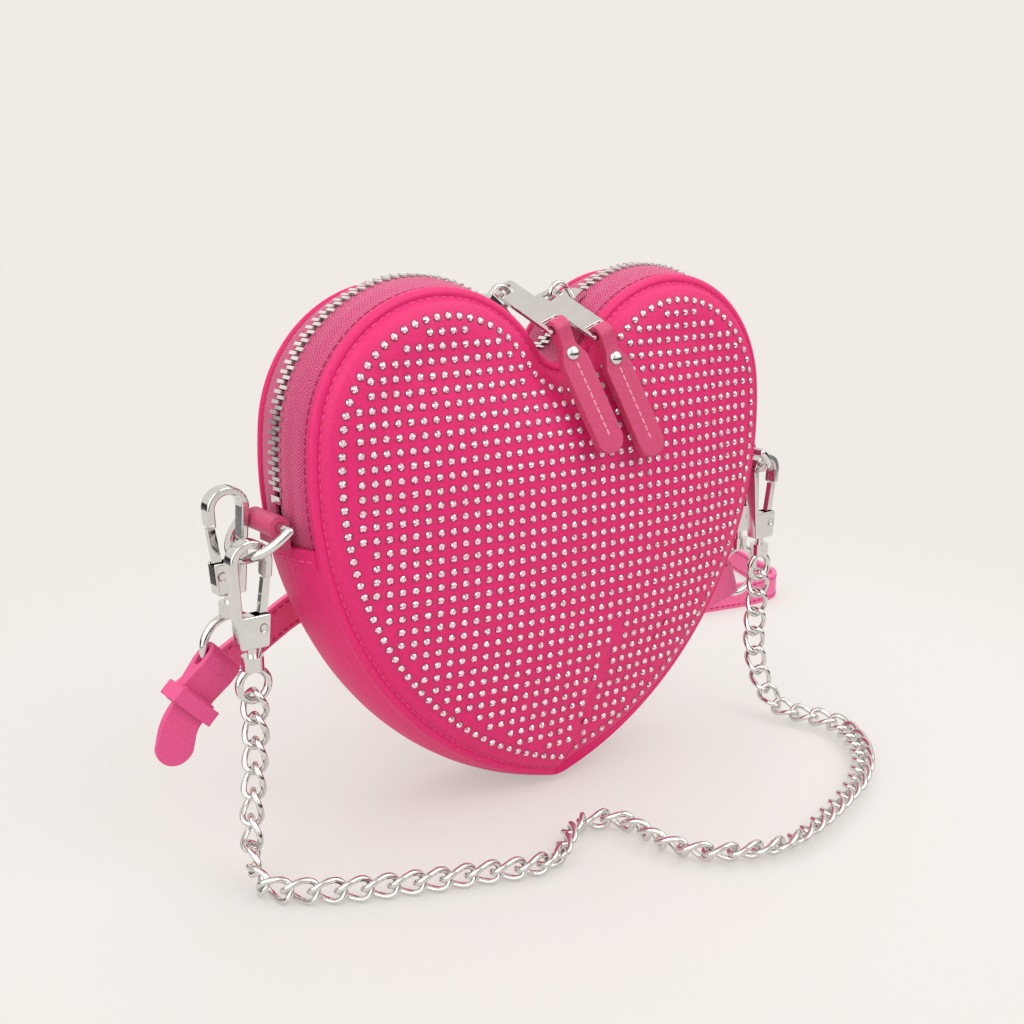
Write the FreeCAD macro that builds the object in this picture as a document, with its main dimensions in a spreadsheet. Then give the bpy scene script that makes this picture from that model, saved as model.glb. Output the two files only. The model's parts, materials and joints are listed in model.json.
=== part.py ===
import FreeCAD, Part
import math
import os
from FreeCAD import Matrix, Placement, Rotation, Vector

# Heart shaped purse: two domed panels sewn to a gusset and a double zip, with a curb chain and a strap.
# Millimetres. X runs left to right as seen from the front, the front faces -Y and Z points up.
# The origin is on the small flat under the tip of the heart, where the purse stands.

doc = FreeCAD.newDocument("heart_purse")
sheet = doc.addObject("Spreadsheet::Sheet", "sizes")

driving_sizes = {
    # Heart outline at the front and back seams
    "lobe_radius": 45.0,
    "side_radius": 120.0,
    "side_start_angle": 6.0,
    "cleft_radius": 11.0,
    "cleft_lift": 29.66,
    "tip_radius": 14.0,
    "base_flat_depth": 0.8,
    # Shell
    "half_depth": 15.0,
    "gusset_bulge": 3.5,
    "gusset_thick": 2.0,
    "panel_thick": 2.2,
    "dome_rise": 12.0,
    "lining_gap": 0.4,
    "lining_thick": 0.6,
    "mouth_half": 8.0,
    "cut_overrun": 5.0,
    # Zip
    "tape_sink": 1.2,
    "tape_thick": 0.9,
    "tape_slot_half": 1.6,
    "tooth_pitch": 3.0,
    "tooth_long": 1.1,
    "tooth_thick": 2.4,
    "tooth_reach": 3.2,
    "tooth_overlap": 0.7,
    "jaw_gap": 0.2,
    "stop_long": 2.4,
    "stop_tab_gap": 1.9,
    "stop_half_wide": 2.6,
    # Zip sliders
    "slider_side": 16.15,
    "slider_long": 11.5,
    "slider_half_wide": 4.8,
    "slider_plate": 1.3,
    "slider_gap": 0.35,
    "slider_post_long": 4.0,
    "slider_post_half_wide": 1.1,
    "slider_flange": 0.7,
    "slider_flange_drop": 0.8,
    "crown_radius": 3.6,
    "crown_leg": 3.0,
    "crown_wire": 1.8,
    # Zip pulls
    "plate_long": 27.0,
    "plate_wide": 8.4,
    "plate_thick": 1.5,
    "plate_corner": 1.5,
    "eye_long": 4.6,
    "eye_wide": 4.2,
    "eye_bar": 1.5,
    "left_eye_turn": 20.0,
    "right_eye_turn": 68.0,
    "slot_long": 4.0,
    "slot_wide": 5.8,
    "slot_bar": 1.6,
    "tab_long": 44.0,
    "tab_wide": 9.6,
    "tab_neck_wide": 5.0,
    "tab_leather": 1.8,
    "tab_bar_gap": 0.3,
    "rivet_radius": 2.3,
    "rivet_rise": 1.3,
    "rivet_drop": 9.0,
    # Side tabs and D-rings
    "ring_radius": 14.0,
    "ring_wire": 3.0,
    "ring_bar_height": 104.2,
    "ring_tilt": 49.0,
    "ring_bar_gap": 0.1,
    "loop_leather": 1.8,
    "loop_wide": 16.0,
    "loop_seat_gap": 0.15,
    "side_tab_drop": 7.2,
    # Swivel snap hooks
    "hook_side": 6.0,
    "hook_outer": 6.8,
    "hook_inner": 4.3,
    "hook_thick": 5.0,
    "hook_long": 26.0,
    "hook_foot_half": 4.6,
    "hook_slot_long": 16.0,
    "hook_slot_foot_half": 3.4,
    "hook_seat_gap": 1.8,
    "nose_long": 5.0,
    "gate_wide": 2.3,
    "gate_foot_half": 1.3,
    "gate_thick": 2.2,
    "gate_gap": 0.3,
    "gate_pivot_drop": 20.0,
    "gate_pivot_side": 3.0,
    "gate_eye": 1.8,
    "pin_radius": 1.0,
    "pin_gap": 0.06,
    "post_radius": 1.6,
    "post_deep": 4.0,
    "neck_long": 2.6,
    "barrel_radius": 3.4,
    "barrel_long": 4.4,
    "eye_radius": 4.8,
    "eye_wire": 2.5,
    "strap_ring_radius": 9.2,
    "strap_ring_wire": 2.6,
    "strap_hook_lift": 13.0,
    "left_strap_shift": -0.8,
    "right_strap_shift": 0.8,
    # Curb chain
    "link_wire": 2.2,
    "link_wide": 9.0,
    "link_long": 12.9,
    "link_gap": 0.95,
    # Strap
    "strap_wide": 12.0,
    "strap_thick": 2.0,
    "strap_layer_gap": 0.3,
    "loop_tail": 24.0,
    "left_lean": 45.0,
    "right_lean": 70.0,
    "tail_tuck": 6.0,
    "tail_reach": 3.8,
    "tail_swing": -2.0,
    "tail_hang": 8.0,
    "band_reach": 16.9,
    "band_behind": 6.3,
    "rise_short": 22.1,
    "rise_behind": 5.2,
    "rise_long": 112.6,
    "floor_lead": 20.0,
    "keeper_wide": 5.0,
    "keeper_leather": 1.4,
}

for row, (alias, value) in enumerate(driving_sizes.items(), start=1):
    sheet.set("A%d" % row, alias)
    sheet.set("B%d" % row, "%g" % value)
    sheet.setAlias("B%d" % row, alias)
doc.recompute()


def size(alias):
    return float(getattr(sheet, alias))


def add_shape(label, shape):
    piece = doc.addObject("Part::Feature", label)
    piece.Label = label
    piece.Shape = shape
    piece.Placement = shape.Placement
    return piece


def bind(piece, **expressions):
    for name, expression in expressions.items():
        piece.setExpression(name, expression)
    return piece


def add_primitive(kind, name, placement, **expressions):
    piece = doc.addObject(kind, name)
    bind(piece, **expressions)
    piece.Placement = placement
    return piece


def fuse(label, pieces):
    joined = doc.addObject("Part::MultiFuse", label)
    joined.Label = label
    joined.Shapes = pieces
    return joined


def cut(label, base, tool):
    result = doc.addObject("Part::Cut", label)
    result.Label = label
    result.Base = base
    result.Tool = tool
    return result


# Heart outline, worked out about the lobe centres

lobe_radius = size("lobe_radius")
side_radius = size("side_radius")
cleft_radius = size("cleft_radius")
cleft_lift = size("cleft_lift")
lobe_half_wide = math.sqrt((lobe_radius + cleft_radius) ** 2 - cleft_lift ** 2)
tip_radius = size("tip_radius")
half_depth = size("half_depth")
gusset_bulge = size("gusset_bulge")
overrun = size("cut_overrun")
side_start = math.radians(size("side_start_angle"))
bar_z = size("ring_bar_height")
gusset_top = bar_z - size("side_tab_drop")
loop_outer = size("ring_wire") / 2 + size("ring_bar_gap") + size("loop_leather")
teeth_end = bar_z + loop_outer + size("stop_tab_gap") + size("stop_long") + size("tooth_long")
side_x = lobe_half_wide - (side_radius - lobe_radius) * math.cos(side_start)
side_fall = (side_radius - lobe_radius) * math.sin(side_start)
cleft_angle = math.atan2(cleft_lift, lobe_half_wide)


def tip_fall(grow):
    reach = side_radius + grow - tip_radius
    return side_fall + math.sqrt(reach ** 2 - side_x ** 2)


lobe_z = tip_fall(gusset_bulge) + tip_radius - size("base_flat_depth")
side_z = lobe_z - side_fall


def polar(x, z, radius, angle):
    return x + radius * math.cos(angle), z + radius * math.sin(angle)


def heart_wire(grow, y):
    """One closed heart outline, grown outward by grow, in the plane at y."""
    lobe = lobe_radius + grow
    side = side_radius + grow
    tip_z = lobe_z - tip_fall(grow)
    tip_angle = math.atan2(tip_z - side_z, -side_x)
    inner_angle = math.pi - cleft_angle
    inner = polar(lobe_half_wide, lobe_z, lobe, inner_angle)
    crown = polar(lobe_half_wide, lobe_z, lobe, (inner_angle + side_start) / 2)
    shoulder = polar(lobe_half_wide, lobe_z, lobe, side_start)
    flank = polar(side_x, side_z, side, (side_start + tip_angle) / 2)
    foot = polar(side_x, side_z, side, tip_angle)
    cleft = (0, lobe_z + cleft_lift - cleft_radius + grow)
    tip = (0, tip_z - tip_radius)

    def arc(first, middle, last, mirror):
        points = [Vector(mirror * x, y, z) for x, z in (first, middle, last)]
        return Part.Arc(*points).toShape()

    left_inner = (-inner[0], inner[1])
    left_foot = (-foot[0], foot[1])
    edges = [
        arc(left_inner, cleft, inner, 1),
        arc(inner, crown, shoulder, 1),
        arc(shoulder, flank, foot, 1),
        arc(foot, tip, left_foot, 1),
        arc(foot, flank, shoulder, -1),
        arc(shoulder, crown, inner, -1),
    ]
    return Part.Wire(edges)


def heart_loft(sections):
    return Part.makeLoft([heart_wire(grow, y) for grow, y in sections], True, True)


def bulge_at(y):
    return gusset_bulge * (1 - (y / half_depth) ** 2)


def band_sections(offset, first_share, last_share, steps):
    shares = [first_share + (last_share - first_share) * k / steps for k in range(steps + 1)]
    return [(bulge_at(share * half_depth) + offset, share * half_depth) for share in shares]


def above(height):
    wide = lobe_half_wide + lobe_radius + side_radius
    corner = Vector(-wide, -wide, height)
    return Part.makeBox(2 * wide, 2 * wide, 2 * wide, corner)


# Front and back panels: domed shells whose rims meet the gusset and the zip tapes

dome_inset_shares = (0.0, 0.0, 0.08, 0.32, 0.6, 0.84)
dome_rise_shares = (0.0, 0.14, 0.26, 0.62, 0.9, 1.0)
panel_thick = size("panel_thick")
dome = [
    (-inset * lobe_radius, half_depth + rise * size("dome_rise"))
    for inset, rise in zip(dome_inset_shares, dome_rise_shares)
]
hollow = [(-panel_thick, half_depth - overrun)]
hollow += [(grow - panel_thick, y - panel_thick) for grow, y in dome[2:]]
back_shape = heart_loft(dome).cut(heart_loft(hollow))
front_shape = back_shape.mirror(Vector(0, 0, 0), Vector(0, 1, 0))
add_shape("front_panel", front_shape)
add_shape("back_panel", back_shape)

# Lower gusset: the sewn strip under the zip, cut flat where the purse stands

gusset_thick = size("gusset_thick")
gusset_outer = heart_loft(band_sections(0, -1, 1, 8))
gusset_hollow = heart_loft(
    [(-gusset_thick, -half_depth - overrun)]
    + band_sections(-gusset_thick, -1, 1, 8)
    + [(-gusset_thick, half_depth + overrun)]
)
gusset_ring = gusset_outer.cut(gusset_hollow)
gusset_shape = gusset_ring.common(above(0)).cut(above(gusset_top))
add_shape("lower_gusset", gusset_shape)

# Lining: a thin bag inside the shell, open under the zip


def lining_sections(inset):
    half = [(grow - inset, y - inset) for grow, y in hollow[1:]]
    rim = (hollow[0][0] - inset, hollow[0][1])
    front = [(grow, -y) for grow, y in reversed(half)]
    return front + [(rim[0], -rim[1]), rim] + half


lining_outer = heart_loft(lining_sections(size("lining_gap")))
lining_inner = heart_loft(lining_sections(size("lining_gap") + size("lining_thick")))
mouth_wide = 2 * (lobe_half_wide + lobe_radius)
mouth = Part.makeBox(
    mouth_wide,
    2 * size("mouth_half"),
    mouth_wide,
    Vector(-mouth_wide / 2, -size("mouth_half"), gusset_top),
)
add_shape("lining", lining_outer.cut(lining_inner).cut(mouth))

# Zip tapes: two woven strips with a slot between them for the teeth

tape_sink = size("tape_sink")
tape_thick = size("tape_thick")
slot_share = size("tape_slot_half") / half_depth
tape_outer = heart_loft(band_sections(-tape_sink, slot_share, 1, 5))
tape_under = -tape_sink - tape_thick
tape_hollow = heart_loft(
    [(bulge_at(0) + tape_under, 0)]
    + band_sections(tape_under, slot_share, 1, 5)
    + [(tape_under, half_depth + overrun)]
)
tape_shape = tape_outer.cut(tape_hollow).common(above(gusset_top))
add_shape("zip_tape_back", tape_shape)
add_shape("zip_tape_front", tape_shape.mirror(Vector(0, 0, 0), Vector(0, 1, 0)))

# Zip teeth: blocks clamped on each tape edge, from one side tab over both lobes to the other

tooth_grow = gusset_bulge - tape_sink - tape_thick / 2
cleft_arc = (math.pi / 2 - cleft_angle) * (cleft_radius - tooth_grow)
lobe_turn = math.pi - cleft_angle - side_start
lobe_arc = lobe_turn * (lobe_radius + tooth_grow)
end_fall = math.asin((side_z - teeth_end) / (side_radius + tooth_grow))
side_arc = (side_start + end_fall) * (side_radius + tooth_grow)
half_zip = cleft_arc + lobe_arc + side_arc
slider_angle = math.acos((size("slider_side") - lobe_half_wide) / (lobe_radius + tooth_grow))
slider_run = cleft_arc + (math.pi - cleft_angle - slider_angle) * (lobe_radius + tooth_grow)


def zip_point(run):
    """Place on the right half of the zip line and the angle of its outward normal."""
    if run < cleft_arc:
        radius = cleft_radius - tooth_grow
        angle = -math.pi / 2 + run / radius
        return polar(0, lobe_z + cleft_lift, radius, angle), angle + math.pi
    if run < cleft_arc + lobe_arc:
        angle = math.pi - cleft_angle - (run - cleft_arc) / (lobe_radius + tooth_grow)
        return polar(lobe_half_wide, lobe_z, lobe_radius + tooth_grow, angle), angle
    angle = side_start - (run - cleft_arc - lobe_arc) / (side_radius + tooth_grow)
    return polar(side_x, side_z, side_radius + tooth_grow, angle), angle


def zip_block(run, mirror, length, height, y_low, y_high):
    """A block on the zip line, centred at a run from the cleft."""
    (x, z), angle = zip_point(run)
    block = Part.makeBox(length, y_high - y_low, height, Vector(-length / 2, y_low, -height / 2))
    if mirror < 0:
        x = -x
        angle = math.pi - angle
    tilt = Rotation(Vector(0, 1, 0), 90 - math.degrees(angle))
    block.Placement = Placement(Vector(x, 0, z), tilt)
    return block


jaw_room = tape_thick + 2 * size("jaw_gap")
jaw_edge = size("tape_slot_half") - size("jaw_gap")


def teeth(phase_share, y_low, y_high):
    """Teeth of one tape, each with a jaw that clamps the tape's edge."""
    blocks = []
    jaw_long = 2 * size("tooth_long")
    jaw_low = jaw_edge if y_high > -y_low else y_low
    jaw_high = y_high if y_high > -y_low else -jaw_edge
    pitch = size("tooth_pitch")
    count = int(half_zip / pitch)
    for step in range(-count, count):
        run = (step + phase_share) * pitch
        clear = abs(abs(run) - slider_run) > (size("slider_post_long") + size("tooth_long")) / 2
        if abs(run) < half_zip and clear:
            side = 1 if run > 0 else -1
            tooth = zip_block(abs(run), side, size("tooth_long"), size("tooth_thick"), y_low, y_high)
            jaw = zip_block(abs(run), side, jaw_long, jaw_room, jaw_low, jaw_high)
            blocks.append(tooth.cut(jaw))
    return Part.makeCompound(blocks)


front_phase_share = 0.25
back_phase_share = 0.75
add_shape("zip_teeth_front", teeth(front_phase_share, -size("tooth_reach"), size("tooth_overlap")))
add_shape("zip_teeth_back", teeth(back_phase_share, -size("tooth_overlap"), size("tooth_reach")))

# Zip stops: crimped blocks past the last teeth

for side, name in ((1, "right"), (-1, "left")):
    run = half_zip + size("stop_long") / 2 + size("tooth_long")
    half_wide = size("stop_half_wide")
    stop = zip_block(run, side, size("stop_long"), size("tooth_thick"), -half_wide, half_wide)
    front_jaw = zip_block(run, side, 2 * size("stop_long"), jaw_room, -half_wide, -jaw_edge)
    back_jaw = zip_block(run, side, 2 * size("stop_long"), jaw_room, jaw_edge, half_wide)
    add_shape("zip_stop_%s" % name, stop.cut(front_jaw).cut(back_jaw))

# Zip sliders: curved top and bottom plates about the lobe centre, a post between and an arched crown

tooth_top = lobe_radius + tooth_grow + size("tooth_thick") / 2
tooth_foot = lobe_radius + tooth_grow - size("tooth_thick") / 2
slider_plate = size("slider_plate")
slider_gap = size("slider_gap")
top_inner = tooth_top + slider_gap
top_outer = top_inner + slider_plate
foot_outer = tooth_foot - slider_gap
foot_inner = foot_outer - slider_plate
slider_half_wide = size("slider_half_wide")


def lobe_sector(inner, outer, length, y_low, y_high):
    """A curved block about the right lobe centre, centred on the slider's angle."""
    half_turn = length / (inner + outer)
    start = slider_angle - half_turn
    stop = slider_angle + half_turn
    corners = {}
    for radius in (inner, outer):
        for key, angle in (("start", start), ("middle", slider_angle), ("stop", stop)):
            x, z = polar(lobe_half_wide, lobe_z, radius, angle)
            corners[radius, key] = Vector(x, y_low, z)
    edges = [
        Part.Arc(corners[outer, "start"], corners[outer, "middle"], corners[outer, "stop"]).toShape(),
        Part.LineSegment(corners[outer, "stop"], corners[inner, "stop"]).toShape(),
        Part.Arc(corners[inner, "stop"], corners[inner, "middle"], corners[inner, "start"]).toShape(),
        Part.LineSegment(corners[inner, "start"], corners[outer, "start"]).toShape(),
    ]
    return Part.Face(Part.Wire(edges)).extrude(Vector(0, y_high - y_low, 0))


slider_long = size("slider_long")
flange_y = slider_half_wide - size("slider_flange")
flange_foot = top_inner - size("slider_flange_drop")
post_half = size("slider_post_half_wide")
crown_radius = size("crown_radius")
crown_wire = size("crown_wire")
crown_x, crown_z = polar(lobe_half_wide, lobe_z, top_outer, slider_angle)
outward = Vector(math.cos(slider_angle), 0, math.sin(slider_angle))
uphill = Vector(math.sin(slider_angle), 0, -math.cos(slider_angle))
crown_foot = Vector(crown_x, 0, crown_z)
arch_centre = crown_foot + outward * size("crown_leg")
crown_arch = Part.makeTorus(crown_radius, crown_wire / 2, arch_centre, Vector(0, 1, 0))
arch_half = Part.makeBox(
    4 * crown_radius, 4 * crown_radius, 4 * crown_radius, Vector(-2 * crown_radius, -2 * crown_radius, 0)
)
arch_half.Placement = Placement(
    arch_centre, Rotation(Vector(0, 1, 0), 90 - math.degrees(slider_angle))
)
crown_legs = [
    Part.makeCylinder(
        crown_wire / 2,
        size("crown_leg") + slider_plate / 2,
        crown_foot + uphill * crown_radius * end - outward * (slider_plate / 2),
        outward,
    )
    for end in (-1, 1)
]
slider_shape = lobe_sector(top_inner, top_outer, slider_long, -slider_half_wide, slider_half_wide)
slider_shape = slider_shape.fuse(
    [
        lobe_sector(foot_inner, foot_outer, slider_long, -slider_half_wide, slider_half_wide),
        lobe_sector(foot_outer, top_inner, size("slider_post_long"), -post_half, post_half),
        lobe_sector(flange_foot, top_inner, slider_long, -slider_half_wide, -flange_y),
        lobe_sector(flange_foot, top_inner, slider_long, flange_y, slider_half_wide),
        crown_arch.common(arch_half),
    ]
    + crown_legs
)
slider_shape = slider_shape.removeSplitter()
add_shape("slider_right", slider_shape)
add_shape("slider_left", slider_shape.mirror(Vector(0, 0, 0), Vector(1, 0, 0)))

# Zip pulls: each hangs from a crown over the front panel, first a metal plate, then a folded tab

plate_way = Vector(0.06, -0.9, -0.36).normalize()
tab_way = Vector(0.35, -0.22, -0.91).normalize()
plate_long = size("plate_long")
tab_leather = size("tab_leather")


def frame(origin, along, across):
    """Placement with local Z along a direction and local X as near as can be to another."""
    way = Vector(along).normalize()
    wide = Vector(across) - way * way.dot(across)
    wide.normalize()
    normal = way.cross(wide)
    matrix = Matrix(
        wide.x, normal.x, way.x, origin.x,
        wide.y, normal.y, way.y, origin.y,
        wide.z, normal.z, way.z, origin.z,
    )
    return Placement(matrix)


def slab(wide, thick, low, high):
    """A block centred on local Z, from a low to a high place along it."""
    return Part.makeBox(wide, thick, high - low, Vector(-wide / 2, -thick / 2, low))


def pull_plate_shape():
    thick = size("plate_thick")
    wide = size("plate_wide")
    deep = thick + 2 * overrun
    body = slab(wide, thick, -size("eye_bar") - size("eye_long") / 2, plate_long)
    upright = [edge for edge in body.Edges if edge.BoundBox.YLength > thick / 2]
    body = body.makeFillet(size("plate_corner"), upright)
    eye_start = Vector(-size("eye_wide") / 2, 0, 0)
    eye = Part.makeCylinder(size("eye_long") / 2, size("eye_wide"), eye_start, Vector(1, 0, 0))
    slot_end = plate_long - size("slot_bar")
    slot = slab(size("slot_wide"), deep, slot_end - size("slot_long"), slot_end)
    return body.cut(eye).cut(slot)


def tab_shape():
    """A strap folded round the plate's end bar, its two layers sewn flat together."""
    wide = size("tab_wide")
    neck_wide = size("tab_neck_wide")
    fold_inner = math.hypot(size("plate_thick"), size("slot_bar")) / 2 + size("tab_bar_gap")
    fold_outer = fold_inner + tab_leather
    tail = size("tab_long")
    neck = 2 * fold_outer
    shoulder = neck + wide / 2
    round_centre = Vector(0, -tab_leather, tail - wide / 2)
    lower = Part.makeCylinder(wide / 2, 2 * tab_leather, round_centre, Vector(0, 1, 0))
    outline = [
        Vector(-neck_wide / 2, -tab_leather, neck),
        Vector(neck_wide / 2, -tab_leather, neck),
        Vector(wide / 2, -tab_leather, shoulder),
        Vector(wide / 2, -tab_leather, tail - wide / 2),
        Vector(-wide / 2, -tab_leather, tail - wide / 2),
        Vector(-wide / 2, -tab_leather, shoulder),
    ]
    body = Part.Face(Part.makePolygon(outline + outline[:1])).extrude(Vector(0, 2 * tab_leather, 0))
    flanks = [
        Vector(-neck_wide / 2, -fold_outer, 0),
        Vector(-neck_wide / 2, fold_outer, 0),
        Vector(-neck_wide / 2, tab_leather, neck),
        Vector(-neck_wide / 2, -tab_leather, neck),
    ]
    throat = Part.Face(Part.makePolygon(flanks + flanks[:1])).extrude(Vector(neck_wide, 0, 0))
    fold_start = Vector(-neck_wide / 2, 0, 0)
    fold = Part.makeCylinder(fold_outer, neck_wide, fold_start, Vector(1, 0, 0))
    core = Part.makeCylinder(fold_inner, neck_wide, fold_start, Vector(1, 0, 0))
    return fold.fuse([throat, body, lower]).cut(core).removeSplitter()


pull_across = plate_way.cross(tab_way)
pull_axes = {}
for side, name in ((1, "right"), (-1, "left")):
    eye_turn = math.radians(size("%s_eye_turn" % name))
    eye_seat = arch_centre + outward * (crown_radius * math.cos(eye_turn))
    eye_seat = eye_seat - uphill * (crown_radius * math.sin(eye_turn))
    crown_seat = Vector(side * eye_seat.x, 0, eye_seat.z)
    plate_frame = frame(crown_seat, plate_way, pull_across)
    plate = add_shape("pull_plate_%s" % name, pull_plate_shape())
    plate.Placement = plate_frame
    tab_seat = crown_seat + plate_way * (plate_long - size("slot_bar") / 2)
    tab_frame = frame(tab_seat, tab_way, pull_across)
    tab = add_shape("pull_tab_%s" % name, tab_shape())
    tab.Placement = tab_frame
    pull_axes["pull_%s" % name] = (crown_seat, plate_frame.Rotation.multVec(Vector(1, 0, 0)))
    pull_axes["tab_%s" % name] = (tab_seat, tab_frame.Rotation.multVec(Vector(1, 0, 0)))
    face_turn = Rotation(Vector(1, 0, 0), -90)
    rivet_seat = tab_frame.multVec(Vector(0, tab_leather, size("rivet_drop")))
    head = add_primitive(
        "Part::Ellipsoid",
        "pull_rivet_%s" % name,
        Placement(rivet_seat, tab_frame.Rotation.multiply(face_turn)),
        Radius1="sizes.rivet_rise",
        Radius2="sizes.rivet_radius",
        Radius3="sizes.rivet_radius",
    )
    head.Angle1 = 0
    head.Label = "pull_rivet_%s" % name

# Side tabs: leather loops at the zip ends that hold the D-rings

ring_wire = size("ring_wire")
ring_radius = size("ring_radius")
surface_reach = side_radius + gusset_bulge - tape_sink
surface_x = side_x + surface_reach
bar_x = surface_x + size("loop_seat_gap") + loop_outer
along_y = Rotation(Vector(1, 0, 0), -90)
for side, name in ((1, "right"), (-1, "left")):
    low_y = Placement(Vector(side * bar_x, -size("loop_wide") / 2, bar_z), along_y)
    roll = add_primitive(
        "Part::Cylinder",
        "loop_roll_%s" % name,
        low_y,
        Radius="sizes.ring_wire / 2 + sizes.ring_bar_gap + sizes.loop_leather",
        Height="sizes.loop_wide",
    )
    tail_low = gusset_top + size("loop_seat_gap")
    tail_x = bar_x - loop_outer if side > 0 else -bar_x + loop_outer - size("loop_leather")
    tail = add_primitive(
        "Part::Box",
        "loop_tail_%s" % name,
        Placement(Vector(tail_x, -size("loop_wide") / 2, tail_low), Rotation()),
        Length="sizes.loop_leather",
        Width="sizes.loop_wide",
        Height="sizes.side_tab_drop - sizes.loop_seat_gap",
    )
    bore = add_primitive(
        "Part::Cylinder",
        "loop_bore_%s" % name,
        low_y,
        Radius="sizes.ring_wire / 2 + sizes.ring_bar_gap",
        Height="sizes.loop_wide",
    )
    cut("side_tab_%s" % name, fuse("loop_%s" % name, [roll, tail]), bore)

# D-rings: a straight bar in the side tab and a half round bow that hangs outward

ring_tilt = math.radians(size("ring_tilt"))
for side, name in ((1, "right"), (-1, "left")):
    bar_seat = Vector(side * bar_x, -ring_radius, bar_z)
    bar = add_primitive(
        "Part::Cylinder",
        "ring_bar_%s" % name,
        Placement(bar_seat, along_y),
        Radius="sizes.ring_wire / 2",
        Height="2 * sizes.ring_radius",
    )
    hang = Vector(side * math.sin(ring_tilt), 0, -math.cos(ring_tilt))
    bow_frame = frame(Vector(side * bar_x, 0, bar_z), Vector(0, 1, 0).cross(hang), Vector(0, 1, 0))
    bow = add_primitive(
        "Part::Torus",
        "ring_bow_%s" % name,
        bow_frame,
        Radius1="sizes.ring_radius",
        Radius2="sizes.ring_wire / 2",
    )
    bow.Angle3 = 180
    corners = []
    for end in (-1, 1):
        corners.append(
            add_primitive(
                "Part::Sphere",
                "ring_corner_%s" % name,
                Placement(Vector(side * bar_x, end * ring_radius, bar_z), Rotation()),
                Radius="sizes.ring_wire / 2",
            )
        )
    fuse("d_ring_%s" % name, [bar, bow] + corners)

# Swivel snap hooks: body with a nose, sprung gate on a pin, and a swivelling eye

hook_outer = size("hook_outer")
hook_inner = size("hook_inner")
hook_thick = size("hook_thick")
hook_long = size("hook_long")
gate_pivot = Vector(size("gate_pivot_side"), 0, -size("gate_pivot_drop"))


def profile(top_radius, foot_half, long, thick):
    """A rounded bar outline in the XZ plane, with a half round top about the origin."""
    left_top = Vector(-top_radius, -thick / 2, 0)
    right_top = Vector(top_radius, -thick / 2, 0)
    left_foot = Vector(-foot_half, -thick / 2, -long)
    right_foot = Vector(foot_half, -thick / 2, -long)
    edges = [
        Part.Arc(left_top, Vector(0, -thick / 2, top_radius), right_top).toShape(),
        Part.LineSegment(right_top, right_foot).toShape(),
        Part.LineSegment(right_foot, left_foot).toShape(),
        Part.LineSegment(left_foot, left_top).toShape(),
    ]
    return Part.Face(Part.Wire(edges)).extrude(Vector(0, thick, 0))


def rod(radius, length, start, way):
    return Part.makeCylinder(radius, length, start, way)


def hook_shape():
    body = profile(hook_outer, size("hook_foot_half"), hook_long, hook_thick)
    deep = hook_thick + 2 * overrun
    slot = profile(hook_inner, size("hook_slot_foot_half"), size("hook_slot_long"), deep)
    gap_low = -size("hook_slot_long")
    side_gap = Part.makeBox(
        hook_outer + overrun,
        deep,
        -size("nose_long") - gap_low,
        Vector(0, -deep / 2, gap_low),
    )
    gate_room = size("gate_thick") + 2 * size("gate_gap")
    fork = Part.makeBox(
        hook_outer + overrun,
        gate_room,
        size("gate_pivot_drop") + size("gate_eye") + size("gate_gap") + gap_low,
        Vector(
            size("gate_pivot_side") - size("gate_eye") - size("gate_gap"),
            -gate_room / 2,
            -size("gate_pivot_drop") - size("gate_eye") - size("gate_gap"),
        ),
    )
    y_way = Vector(0, 1, 0)
    pin_hole = rod(size("pin_radius") + size("pin_gap"), deep, gate_pivot - y_way * (deep / 2), y_way)
    post_hole = rod(
        size("post_radius") + size("pin_gap"),
        size("post_deep"),
        Vector(0, 0, -hook_long),
        Vector(0, 0, 1),
    )
    return body.cut([slot, side_gap, fork, pin_hole, post_hole])


def gate_shape():
    thick = size("gate_thick")
    top = -size("nose_long") - size("gate_gap")
    lean_share = size("nose_long") / hook_long
    top_side = hook_outer - (hook_outer - size("hook_foot_half")) * lean_share
    corners = [
        Vector(gate_pivot.x - size("gate_foot_half"), -thick / 2, gate_pivot.z),
        Vector(top_side - size("gate_wide"), -thick / 2, top),
        Vector(top_side, -thick / 2, top),
        Vector(gate_pivot.x + size("gate_foot_half"), -thick / 2, gate_pivot.z),
    ]
    arm = Part.Face(Part.makePolygon(corners + corners[:1])).extrude(Vector(0, thick, 0))
    y_way = Vector(0, 1, 0)
    start = gate_pivot - y_way * (thick / 2)
    eye = rod(size("gate_eye"), thick, start, y_way)
    hole = rod(size("pin_radius") + size("pin_gap"), thick, start, y_way)
    return arm.fuse(eye).cut(hole).removeSplitter()


def add_swivel(name, seat, ring_alias, wire_alias):
    """Post, barrel and ring that turn together under a hook."""
    post_low = -hook_long - size("neck_long")
    barrel_low = post_low - size("barrel_long")
    ring_centre = barrel_low - size(ring_alias)
    post = add_primitive(
        "Part::Cylinder",
        "%s_post" % name,
        Placement(seat + Vector(0, 0, post_low), Rotation()),
        Radius="sizes.post_radius",
        Height="sizes.neck_long + sizes.post_deep - sizes.pin_gap",
    )
    barrel = add_primitive(
        "Part::Cylinder",
        "%s_barrel" % name,
        Placement(seat + Vector(0, 0, barrel_low), Rotation()),
        Radius="sizes.barrel_radius",
        Height="sizes.barrel_long",
    )
    ring = add_primitive(
        "Part::Torus",
        "%s_ring" % name,
        Placement(seat + Vector(0, 0, ring_centre), Rotation(Vector(1, 0, 0), 90)),
        Radius1="sizes.%s" % ring_alias,
        Radius2="sizes.%s / 2" % wire_alias,
    )
    fuse("%s_swivel" % name, [post, barrel, ring])
    return seat + Vector(0, 0, ring_centre)


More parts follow.
